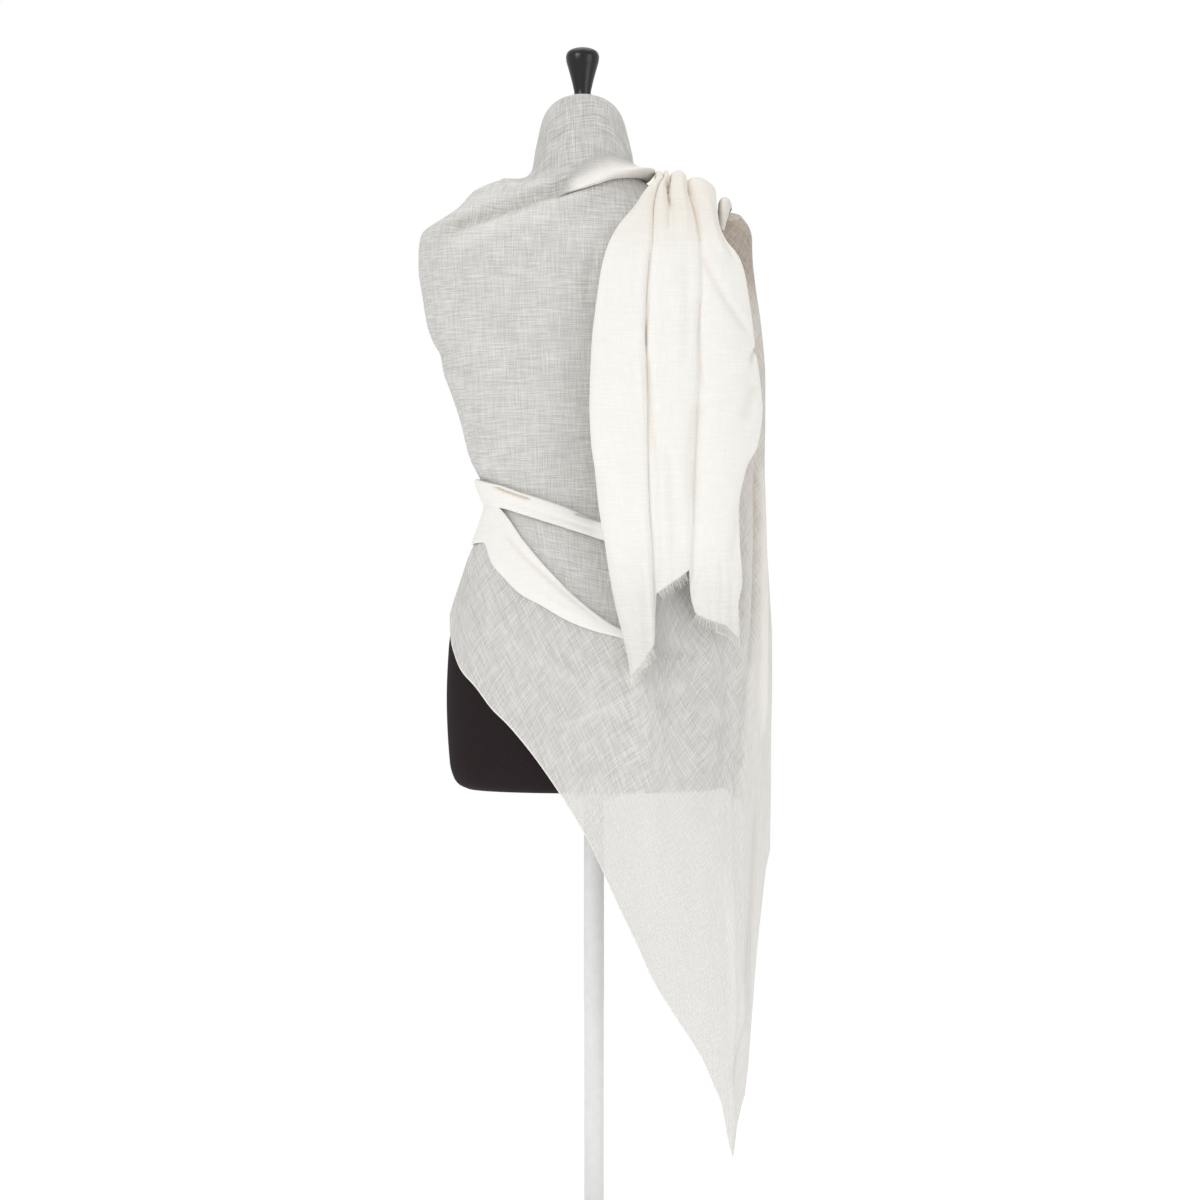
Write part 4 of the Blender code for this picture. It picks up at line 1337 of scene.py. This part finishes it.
UPPER_BAND = WaistBand("upper_band_cloth", "waist_band_upper", (0.34, 0.028), {
    "angle": (-206, -192, -180, -150, -138, -125, -108, -92, -80, -60, -38),
    "height": (0.348, 0.347, 0.346, 0.338, 0.331, 0.3237, 0.3145, 0.305, 0.298, 0.289, 0.281),
    "half_height": (0.008, 0.0145, 0.0150, 0.0130, 0.0120, 0.0120, 0.0118, 0.0105, 0.010, 0.010, 0.007),
    "thick": (0.0015, 0.0040, 0.0050, 0.0055, 0.0055, 0.0050, 0.0050, 0.0050, 0.0050, 0.0050, 0.002),
})
LOWER_BAND = WaistBand("lower_band_cloth", "waist_band_lower", (0.26, 0.044), {
    "angle": (-206, -192, -180, -160, -147, -132, -118, -103, -90, -77, -67),
    "height": (0.3120, 0.3100, 0.3090, 0.3085, 0.2870, 0.2580, 0.2367, 0.2150, 0.2000, 0.1875, 0.1790),
    "half_height": (0.0120, 0.0215, 0.0235, 0.0215, 0.0290, 0.0275, 0.0217, 0.0165, 0.0115, 0.0060,
                    0.0035),
    "thick": (0.0015, 0.0025, 0.0030, 0.0030, 0.003, 0.0030, 0.0030, 0.0035, 0.0035, 0.003, 0.002),
})


def on_line(at: Array, knots: Array, points: Array) -> Array:
    """Points of a broken line in space, read at places along it.

    Args:
        at: the places.
        knots: place of each of the line's own points, ascending.
        points: the line's own points.

    Returns:
        A point for each place.
    """
    return np.stack([np.interp(at, knots, points[:, axis]) for axis in range(3)], -1)


def strand_faces(stations: int, strands: int, sides: int) -> Faces:
    """Faces of many thin strands whose points are counted along, then by strand, then round.

    Args:
        stations: number of sections along a strand.
        strands: number of strands.
        sides: number of points round a section.

    Returns:
        The numbers of each face's points: the walls, then both ends.
    """
    numbers = np.arange(stations * strands * sides).reshape(stations, strands, sides)
    turned = np.roll(numbers, -1, axis=2)
    walls = np.stack((numbers[1:], turned[1:], turned[:-1], numbers[:-1]), -1)
    return walls.reshape(-1, 4).tolist() + numbers[0].tolist() + numbers[-1, :, ::-1].tolist()


@dataclass(frozen=True)
class Fringe:
    """Eyelash fringe: thin tapered threads that leave the hem downwards, a little untidily."""

    seed: int = 40
    fine_steps: int = 300
    spacing: float = 0.0008
    jitter: float = 0.0003
    pull: float = 0.7
    sway: float = 0.30
    lift: float = 0.05
    lift_spread: float = 0.12
    length: float = 0.0105
    length_range: Span = (0.65, 1.2)
    curl_along: float = 0.0016
    curl_out: float = 0.0010
    root: float = -0.12
    stations: int = 6
    sides: int = 3
    thick: float = 0.00038
    taper: float = 0.75

    def build(self, number: int, cloth: Array, line: Array, span: Span,
              finish: bpy.types.Material) -> bpy.types.Object:
        """One row of fringe: a bent path for each thread, with a small section round it.

        Args:
            number: which pleat it hangs from.
            cloth: points of the cloth, hem first.
            line: fold line number of each of its columns.
            span: fold lines that the row starts and ends at.
            finish: the cloth's material.

        Returns:
            The row's object.
        """
        rng = np.random.default_rng(self.seed + number)
        fine = np.linspace(*span, self.fine_steps)
        track = on_line(fine, line, cloth[0])
        length = running_length(track[None], 1)[0]
        count = int(length[-1] / self.spacing)
        spots = np.linspace(0, length[-1], count) + rng.uniform(-self.jitter, self.jitter, count)
        root = on_line(spots, length, track)
        side = unit(on_line(np.interp(spots, length, fine), line, outward(cloth, Closure.OPEN)[0]))
        along = unit(np.gradient(root, axis=0))
        drop = unit(np.cross(side, along))
        drop *= np.sign(-drop[:, 2:])
        fall = unit(drop + np.array((0, 0, -self.pull)) + along * rng.normal(0, self.sway, (count, 1))
                    + side * rng.normal(self.lift, self.lift_spread, (count, 1)))
        reach = self.length * rng.uniform(*self.length_range, (count, 1))
        curl = (along * rng.normal(0, self.curl_along, (count, 1))
                + side * rng.normal(0, self.curl_out, (count, 1)))
        t = np.linspace(self.root, 1, self.stations)[:, None, None]
        path = root + fall * reach * t + curl * t * t
        turn = np.linspace(0, 2 * np.pi, self.sides + 1)[:-1, None]
        ring = np.cos(turn) * side[:, None] + np.sin(turn) * unit(np.cross(fall, side))[:, None]
        thick = self.thick * (1 - self.taper * np.clip(t, 0, 1))[..., None]
        points = path[:, :, None] + ring * thick
        faces = strand_faces(self.stations, count, self.sides)
        piece = add_object(f"fringe_{number}", points, faces, finish)
        lay_thread(piece, at_corners(piece, points[..., [0, 2]]))
        dress(piece, np.ones(points.shape[:3]), np.zeros(points.shape[:3]))
        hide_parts(f"fringe_pleat_{number}")
        return piece


@dataclass(frozen=True)
class ShoulderEnd:
    """The end thrown over the shoulder in three pleats, with its eyelash fringe.

    Each Span is two heights that a change is eased between. Fold lines are numbered 0 to 10
    across the end, from one turned edge to the other.
    """

    wall: float = 0.00075
    top_rows: int = 66
    hang_rows: int = 124
    hang_from: float = 0.560
    level_x: float = 0.078
    fall: float = 5.0
    half_width: float = 0.212
    turned: float = 0.022
    fuller: float = 1.2
    front_wave: float = 0.016
    wave_lines: float = 1.1
    wave_start: float = 0.6
    steps: int = 16
    flat: tuple[float, float] = (0.26, 0.64)
    crest: float = 0.690
    crest_span: Span = (0.600, 0.690)
    furthest: float = 0.98
    middle_shift: float = 0.006
    middle_span: Span = (0.640, 0.680)
    foot_span: Span = (0.25, 0.36)
    shoulder_span: Span = (0.610, 0.680)
    fuller_span: Span = (0.62, 0.68)
    tick: float = 0.002
    thin_foot: float = 0.35
    thin_span: Span = (0.15, 0.30)
    # Painted warm shade: in the creases' troughs, and on the top over the shoulder
    painted_shade_tint: float = 0.34
    painted_shade_tint_top: float = 0.27
    painted_shade_tint_span: Span = (0.58, 0.68)
    crowding: Table = field(default_factory=lambda: {
        "share": (0.0, 0.08, 0.20, 0.28, 0.37, 0.60, 0.66, 0.74, 0.92, 1.0),
        "line": (0.0, 1.0, 2.5, 2.85, 3.25, 6.5, 6.85, 7.25, 9.0, 10.0),
    })
    profile: Table = field(default_factory=lambda: {
        "line": (0.0, 1.0, 1.4, 2.0, 2.65, 2.90, 3.00, 3.10, 3.35, 4.0, 4.7, 5.0, 5.3, 6.0, 6.70,
                 6.90, 7.00, 7.12, 7.40, 8.0, 8.7, 9.0, 10.0),
        "foot": (0.10, 0.50, 0.86, 1.00, 0.98, 0.76, 0.58, 0.62, 0.78, 0.92, 0.90, 0.86,
                 0.90, 0.93, 0.84, 0.70, 0.62, 0.66, 0.84, 0.95, 0.82, 0.50, 0.10),
        "middle": (0.10, 0.50, 0.88, 1.00, 0.97, 0.84, 0.60, 0.70, 0.82, 0.92, 0.92, 0.92,
                   0.94, 0.96, 0.88, 0.72, 0.58, 0.66, 0.86, 0.98, 0.84, 0.50, 0.10),
        "shoulder": (0.10, 0.45, 0.76, 0.92, 0.82, 0.64, 0.48, 0.60, 0.82, 1.00, 0.76, 0.36,
                     0.76, 1.08, 0.82, 0.52, 0.28, 0.46, 0.80, 0.98, 0.74, 0.50, 0.10),
    })
    path: Table = field(default_factory=lambda: {
        "depth": (-0.1130, -0.1040, -0.0880, -0.0640, -0.0360, -0.0060, 0.0240, 0.0500, 0.0730,
                  0.0930, 0.1110, 0.1195, 0.1235, 0.1240),
        "height": (0.6000, 0.6360, 0.6650, 0.6860, 0.6980, 0.7020, 0.6970, 0.6860, 0.6680,
                   0.6420, 0.6000, 0.5600, 0.5000, 0.1000),
    })
    lines: Table = field(default_factory=lambda: {
        "height": (0.1330, 0.1450, 0.1840, 0.2165, 0.2417, 0.2889, 0.3218, 0.3678, 0.3974,
                   0.4347, 0.5016, 0.5550, 0.5900, 0.6120, 0.6310, 0.6540, 0.6800, 0.6900),
        "left": (0.0398, 0.0387, 0.0310, 0.0233, 0.0184, 0.0113, 0.0058, 0.0009, -0.0030,
                 -0.0045, -0.0023, 0.0036, 0.0091, 0.0154, 0.0246, 0.0420, 0.0610, 0.0700),
        "valley_1": (0.0663, 0.0663, 0.0661, 0.0650, 0.0635, 0.0615, 0.0592, 0.0578, 0.0573,
                     0.0573, 0.0562, 0.0595, 0.0620, 0.0640, 0.0650, 0.0665, 0.0730, 0.0790),
        "valley_2": (0.1000, 0.1000, 0.1005, 0.1015, 0.1035, 0.1050, 0.1065, 0.1080, 0.1095,
                     0.1105, 0.1117, 0.1150, 0.1160, 0.1160, 0.1145, 0.1110, 0.1050, 0.1050),
        "right": (0.1555, 0.1555, 0.1555, 0.1545, 0.1585, 0.1560, 0.1560, 0.1640, 0.1755,
                  0.1800, 0.1735, 0.1680, 0.1630, 0.1555, 0.1450, 0.1375, 0.1345, 0.1345),
        "fullness": (0.0200, 0.0200, 0.0200, 0.0200, 0.0200, 0.0200, 0.0200, 0.0200, 0.0200,
                     0.0200, 0.0180, 0.0155, 0.0135, 0.0120, 0.0115, 0.0115, 0.0115, 0.0115),
    })
    hem: Table = field(default_factory=lambda: {
        "line": (0.0, 1.0, 2.0, 2.8, 3.2, 5.0, 6.7, 7.3, 7.7, 8.3, 8.6, 9.0, 10.0),
        "height": (0.150, 0.1335, 0.153, 0.1735, 0.2290, 0.2418, 0.2550, 0.2070, 0.2000, 0.1934,
                   0.1820, 0.1758, 0.186),
    })
    creases: Creases = Creases((
        (652, 178, 653.5, 214, 651, 252, 2.4, 1.5, -1.8),
        (652, 236, 645, 300, 645, 362, 1.6, 1.4, -5.5),
        (645, 345, 648, 400, 653, 472, 3.4, 1.7, -3.2),
        (652, 430, 656, 520, 657, 610, 4, 1.4, -2.2),
        (643, 240, 637, 330, 641, 430, 5, 0.6, 2),
        (671, 186, 669, 206, 668, 236, 2.6, 1, -3.5),
        (669, 178, 669, 184, 669, 190, 3.2, 1, -6),
        (686, 176, 697, 205, 700, 254, 2.6, 1.5, -3),
        (699, 246, 716, 290, 750, 342, 4, 1.3, -3.6),
        (699, 286, 696, 340, 702, 402, 2.6, 2, -2.6),
        (754, 344, 746, 352, 741, 368, 3, 1, -5),
        (750, 354, 728, 372, 703, 394, 7, 1, 3),
        (750, 378, 742, 398, 736, 425, 7, 1, -3),
        (702, 396, 690, 440, 690, 530, 9, 1.3, -3),
        (747, 440, 735, 500, 722, 580, 6, 1, -2.6),
        (664, 440, 668, 500, 674, 566, 7, 1, -2.2),
        (612, 250, 606, 330, 611, 430, 10, 1, -1.4),
        (600, 430, 606, 540, 626, 640, 8, 1, -1.6),
        (640, 560, 643, 620, 645, 664, 4, 1, -1.8),
        (703, 560, 703, 590, 704, 626, 1.8, 1, -1),
        (713, 556, 715, 590, 712, 644, 2.6, 1, -1.2),
        (727, 572, 724, 606, 728, 646, 3, 1, -1.4),
        (641, 188, 636, 204, 626, 224, 3, 1, -2),
        (661, 178, 660, 202, 659, 240, 3.5, 1, 1.8),
        (680, 176, 683, 202, 685, 240, 3.5, 1, 1.8),
        (704, 186, 713, 222, 722, 262, 4.5, 1, 1.8),
        (713, 200, 722, 232, 733, 262, 3, 1, -2.4),
        (668, 250, 672, 330, 668, 420, 9, 1, 1.6),
        (684, 240, 684, 300, 682, 380, 6, 1, -1.6),
    ), plane=-0.12)
    fringe: Fringe = Fringe()
    fringe_spans: tuple[Span, ...] = ((1.05, 2.65), (3.35, 6.30), (7.34, 8.95))

    def path_lengths(self) -> Array:
        """Length of the path up to each of its points."""
        steps = np.hypot(np.diff(self.path["depth"]), np.diff(self.path["height"]))
        return np.concatenate(([0], np.cumsum(steps)))

    def length_at(self, height: Array) -> Array:
        """Length of the path where it passes a height on the back.

        Args:
            height: heights above the datum.

        Returns:
            The length from the path's start to each height.
        """
        crest = int(np.argmax(self.path["height"]))
        back = np.array(self.path["height"][crest:])
        return np.interp(-np.asarray(height), -back, self.path_lengths()[crest:])

    def guide(self, x: Array, along: Array) -> Array:
        """Point of the plain surface under the pleats: the path, falling away to the right.

        Args:
            x: how far to the right each point is.
            along: its length along the path.

        Returns:
            The points.
        """
        depth = monotone(self.path_lengths(), self.path["depth"], along)
        height = monotone(self.path_lengths(), self.path["height"], along)
        on_top = ease(*self.crest_span, height)
        height = height - self.fall * np.maximum(x - self.level_x, 0) ** 2 * on_top
        across = np.clip(np.abs(x + TORSO.lean * height) / self.half_width, 0, self.furthest)
        curved = (1 - across ** TORSO.power) ** (1 / TORSO.power)
        depth = depth * (on_top + curved * (1 - on_top))
        return np.stack(np.broadcast_arrays(x, -depth, TORSO.datum + height), -1)

    def places(self, height: Array) -> Array:
        """Places across of the eleven fold lines.

        Args:
            height: heights above the datum.

        Returns:
            Each line's X at each height, lines first.
        """
        left, first, second, right = (read(self.lines, "height", name, height)
                                      for name in ("left", "valley_1", "valley_2", "right"))
        middle = (first + second) / 2 - self.middle_shift * ease(*self.middle_span, height)
        return np.stack((left + self.turned, left, (left + first) / 2, first, (first + middle) / 2, middle,
                         (middle + second) / 2, second, (second + right) / 2, right, right - self.turned))

    def lengths(self, line: Array) -> Array:
        """Length along the path of each point, hem first.

        Args:
            line: fold line number of each column.

        Returns:
            The lengths, in rows and columns.
        """
        hem = self.length_at(np.interp(line, self.hem["line"], self.hem["height"]))
        hang = self.length_at(self.hang_from)
        front = self.front_wave * (1 + np.sin(self.wave_lines * line + self.wave_start)) / 2
        top = front + (hang - front) * np.linspace(0, 1, self.top_rows)[:-1, None]
        low = hang + (hem - hang) * np.linspace(0, 1, self.hang_rows)[:, None]
        return np.concatenate((top, low))[::-1]

    def grid(self) -> tuple[Array, Array, Array]:
        """The end's points: the plain surface, moved out by the pleats' profile and the creases.

        Returns:
            The points, hem first, the creases' rise, and the fold line number of each column.
        """
        share = np.linspace(0, 1, 10 * self.steps + 1)
        line = np.interp(share, self.crowding["share"], self.crowding["line"])
        along = self.lengths(line)
        back = along > self.length_at(self.crest)
        height = np.where(back, monotone(self.path_lengths(), self.path["height"], along), self.crest)
        foot, middle, shoulder = (read(self.profile, "line", name, line)
                                  for name in ("foot", "middle", "shoulder"))
        stand = foot + (middle - foot) * ease(*self.foot_span, height)
        stand = stand + (shoulder - stand) * ease(*self.shoulder_span, height)
        fuller = 1 + (self.fuller - 1) * ease(*self.fuller_span, height)
        x = monotone_stack(self.places(height), line)
        across = self.guide(x + self.tick, along) - self.guide(x - self.tick, along)
        upward = self.guide(x, along - self.tick) - self.guide(x, along + self.tick)
        creases = self.creases.rise(x, height) * back * ease(0, 1, line) * ease(0, 1, 10 - line)
        fullness = read(self.lines, "height", "fullness", height) * fuller
        out = np.maximum(stand * fullness + self.wall + creases, self.wall)
        return self.guide(x, along) + unit(np.cross(across, upward)) * out[..., None], creases, line

    def build(self, finish: bpy.types.Material) -> list[bpy.types.Object]:
        """The end's object and its three rows of fringe.

        Args:
            finish: the cloth's material.

        Returns:
            The four objects.
        """
        grid, creases, line = self.grid()
        height = grid[..., 2] - TORSO.datum
        layers = 1 - self.thin_foot * (1 - ease(*self.thin_span, height))
        # Painted warm shade in the creases' troughs and on the top over the shoulder.
        warm_painted_shade = self.painted_shade_tint * trough(creases) + self.painted_shade_tint_top * ease(*self.painted_shade_tint_span, height)
        centre = line.size // 2
        piece = Sheet("shoulder_end_cloth", grid, Closure.OPEN, centre, layers, warm_painted_shade).build(finish)
        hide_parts("shoulder_end")
        rows = [self.fringe.build(number, grid, line, span, finish)
                for number, span in enumerate(self.fringe_spans, 1)]
        return [piece, *rows]


@dataclass(frozen=True)
class NeckRoll:
    """The turned fold between neck and shoulder: it leaves the neck stretch and turns back under.

    Its section runs from under the lower edge, round that edge and over the ridge up to the
    neck, as `across` in shares of the half width and `up` in shares of the rise.
    """

    seat: float = 0.0012
    stations: int = 150
    spokes: int = 44
    high_rows: int = 21
    flat: tuple[float, float] = (0.24, 0.036)
    tick: float = 0.01
    fade: Span = (-120, -96)
    # Painted warm shade: an even touch over the roll
    painted_shade_tint: float = 0.08
    table: Table = field(default_factory=lambda: {
        "angle": (-135, -122, -108, -90, -72, -54, -36, -18, 0, 20, 36),
        "row": (12.2, 13.35, 14.60, 15.25, 15.75, 15.97, 15.98, 15.95, 15.95, 16.0, 16.1),
        "half": (0.20, 0.50, 0.85, 0.85, 0.75, 0.62, 0.51, 0.45, 0.42, 0.40, 0.30),
        "rise": (0.003, 0.005, 0.0065, 0.008, 0.010, 0.013, 0.016, 0.018, 0.017, 0.012, 0.006),
    })
    section: Table = field(default_factory=lambda: {
        "at": (0.0, 0.10, 0.20, 0.30, 0.42, 0.60, 0.80, 1.0),
        "across": (-0.20, -0.75, -0.98, -0.90, -0.50, 0.10, 0.75, 1.45),
        "up": (0.04, 0.06, 0.34, 0.72, 1.00, 0.88, 0.42, -0.03),
        "layers": (1.0, 1.0, 1.0, 1.0, 1.0, 0.85, 0.20, -1.0),
    })

    def build(self, wrap: NeckWrap, finish: bpy.types.Material) -> bpy.types.Object:
        """The roll's object.

        Args:
            wrap: the stretch that it lies on.
            finish: the cloth's material.

        Returns:
            The object.
        """
        degrees = np.linspace(self.table["angle"][0], self.table["angle"][-1], self.stations)
        middle, half, rise = (read(self.table, "angle", name, degrees) for name in ("row", "half", "rise"))
        at = np.linspace(0, 1, self.spokes)[:, None]
        across, up, layers = (read(self.section, "at", name, at) for name in ("across", "up", "layers"))
        levels = TORSO.rows(wrap.waist, TORSO.top, self.high_rows)
        height = np.interp(middle + half * across, np.arange(self.high_rows), levels)
        angle = np.radians(degrees) + 0 * height
        skin = TORSO.skin(angle, height)
        along = TORSO.skin(angle + self.tick, height) - skin
        upward = TORSO.place(angle, TORSO.radius(angle, height + self.tick), height + self.tick) - skin
        stand = wrap.stand(skin, height)[0] + self.seat + rise * up
        grid = skin + unit(np.cross(along, upward)) * stand[..., None]
        shown = ease(*self.fade, degrees)
        # The last value is the even touch of painted warm shade over the shown roll.
        piece = Sheet("neck_roll_cloth", grid, Closure.OPEN, self.stations // 2,
                      layers * shown - (1 - shown), self.painted_shade_tint * (layers > 0) * shown).build(finish)
        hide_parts("neck_roll")
        return piece


@dataclass(frozen=True)
class ShoulderTuck:
    """The small fold gathered up at the right of the shoulder.

    Its painted warm shade goes from the first value at the crown to the second, darker one at the feet.
    """

    stations: int = 60
    spokes: int = 30
    flat: tuple[float, float] = (0.095, 0.026)
    layers: float = 0.9
    painted_shade_tint: Span = (0.22, 0.42)
    table: Table = field(default_factory=lambda: {
        "x": (0.1510, 0.1500, 0.1490, 0.1460, 0.1430),
        "y": (0.0120, -0.0100, -0.0320, -0.0560, -0.0700),
        "height": (0.6665, 0.6690, 0.6690, 0.6570, 0.6360),
        "half": (0.0040, 0.0075, 0.0075, 0.0060, 0.0030),
        "rise": (0.0040, 0.0110, 0.0110, 0.0080, 0.0020),
    })

    def build(self, finish: bpy.types.Material) -> bpy.types.Object:
        """The tuck's object: an arch carried along a bent line, its feet down.

        Args:
            finish: the cloth's material.

        Returns:
            The object.
        """
        knots = np.arange(len(self.table["x"]))
        at = np.linspace(knots[-1], 0, self.stations)
        x, y, height, half, rise = (monotone(knots, column, at) for column in self.table.values())
        path = np.stack((x, y, TORSO.datum + height), -1)
        along = unit(np.gradient(path, axis=0))
        side = unit(np.cross(along, (0, 0, 1)))
        up = np.cross(side, along)
        sweep = np.radians(np.linspace(-90, 90, self.spokes))
        grid = (path[:, None] + side[:, None] * (half[:, None] * np.sin(sweep))[..., None]
                + up[:, None] * (rise[:, None] * np.cos(sweep))[..., None])
        # Painted warm shade, darker at the arch's feet than at its crown.
        warm_painted_shade = self.painted_shade_tint[0] + (self.painted_shade_tint[1] - self.painted_shade_tint[0]) * np.abs(np.sin(sweep))
        piece = Sheet("shoulder_tuck_cloth", grid, Closure.OPEN, self.spokes // 2,
                      self.layers, warm_painted_shade).build(finish)
        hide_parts("shoulder_tuck")
        return piece


@dataclass(frozen=True)
class Lamp:
    """A square soft light that looks at a point."""

    name: str
    place: Place
    aim: Place
    size: float
    power: float

    def build(self) -> None:
        """Puts the lamp in the scene."""
        data = bpy.data.lights.new(self.name, "AREA")
        data.size = self.size
        data.energy = self.power
        lamp = bpy.data.objects.new(self.name, data)
        lamp.location = self.place
        lamp.rotation_euler = (Vector(self.aim) - Vector(self.place)).to_track_quat("-Z", "Y").to_euler()
        bpy.context.scene.collection.objects.link(lamp)


@dataclass(frozen=True)
class Studio:
    """Pale floor, white room, soft lights and the camera at the photograph's angle."""

    sensor: float = 36.0
    far: float = 50.0
    room: float = 0.64
    floor_radius: float = 1.9
    floor_drop: float = 0.0005
    floor_step: int = 5
    floor_tone: float = 0.96
    floor_glow: float = 0.26
    lamps: tuple[Lamp, ...] = (
        Lamp("key", (-2.0, -2.8, 2.2), (0, 0, 0.9), 1.6, 32),
        Lamp("fill", (2.6, -2.2, 1.0), (0, 0, 0.7), 2.0, 16),
        Lamp("overhead", (0, 0.8, 4.5), (0, 0.8, 0), 4.0, 48),
    )

    def camera(self) -> None:
        """A level camera straight behind the form, framed as in the photograph."""
        data = bpy.data.cameras.new("camera")
        data.sensor_width = self.sensor
        data.lens = self.sensor * PICTURE.camera_distance / (PICTURE.pixel * PICTURE.pixels)
        data.clip_end = self.far
        eye = bpy.data.objects.new("camera", data)
        eye.location = (PICTURE.camera_x, -PICTURE.camera_distance, PICTURE.camera_height)
        eye.rotation_euler = (math.radians(90), 0, 0)
        bpy.context.scene.collection.objects.link(eye)
        bpy.context.scene.camera = eye

    def floor(self) -> None:
        """A wide round floor just under the foot, that glows a little so it looks as pale as the room."""
        angle = np.radians(np.arange(0, 360, self.floor_step))
        radius = self.floor_radius
        points = np.stack((radius * np.cos(angle), radius * np.sin(angle), 0 * angle - self.floor_drop), -1)
        mesh = bpy.data.meshes.new("floor")
        mesh.from_pydata(points.tolist(), [], [list(range(len(angle)))])
        finish = Graph("floor_paper")
        tone = self.floor_tone
        finish.set({"Base Color": (tone, tone, tone, 1), "Emission Color": (1, 1, 1, 1),
                    "Emission Strength": self.floor_glow, "Roughness": 0.9})
        mesh.materials.append(finish.material)
        floor = bpy.data.objects.new("floor", mesh)
        bpy.context.scene.collection.objects.link(floor)

    def light(self) -> None:
        """A white room, seen brighter than it shines, and the soft lights."""
        world = bpy.data.worlds.new("studio")
        world.use_nodes = True
        nodes, links = world.node_tree.nodes, world.node_tree.links
        rays = nodes.new("ShaderNodeLightPath")
        strength = nodes.new("ShaderNodeMapRange")
        strength.inputs["To Min"].default_value = self.room
        links.new(rays.outputs["Is Camera Ray"], strength.inputs["Value"])
        links.new(strength.outputs[0], nodes["Background"].inputs["Strength"])
        nodes["Background"].inputs["Color"].default_value = (1, 1, 1, 1)
        bpy.context.scene.world = world
        bpy.context.scene.view_settings.view_transform = "Standard"
        for lamp in self.lamps:
            lamp.build()


def main() -> None:
    """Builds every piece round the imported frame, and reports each."""
    logging.basicConfig(level=logging.INFO, format="%(name)s %(message)s")
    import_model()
    studio = Studio()
    studio.camera()
    studio.floor()
    studio.light()

    white = Lacquer("stand_lacquer", (0.84, 0.84, 0.83), 0.35, 0.3).material()
    black = Lacquer("knob_lacquer", (0.004, 0.004, 0.004), 0.28, 0.15).material()
    jersey = Jersey().material()
    back = Gauze("back_gauze", Weave.STRAIGHT, 0.50).material()
    tail = Gauze("tail_gauze", Weave.BIAS, 0.54, slub=0.030, warm_painted_shade=(0.78, 0.69, 0.61)).material()
    folded = Gauze("folded_gauze", Weave.STRAIGHT, 0.2, warm_painted_shade=(0.74, 0.62, 0.49)).material()

    form, wrap, hip = DressForm(), NeckWrap(), HipWrap()
    pieces = [form.body(jersey), *form.stand(white), *form.knob_parts(black)]
    pieces += [wrap.build(back), hip.build(tail)]
    pieces += [band.build(hip, folded) for band in (UPPER_BAND, LOWER_BAND)]
    pieces += ShoulderEnd().build(folded)
    pieces += [NeckRoll().build(wrap, folded), ShoulderTuck().build(folded)]
    for piece in pieces:
        log.info("%s: %d points, %d faces", piece.name, len(piece.data.vertices), len(piece.data.polygons))


if __name__ == "__main__":
    main()
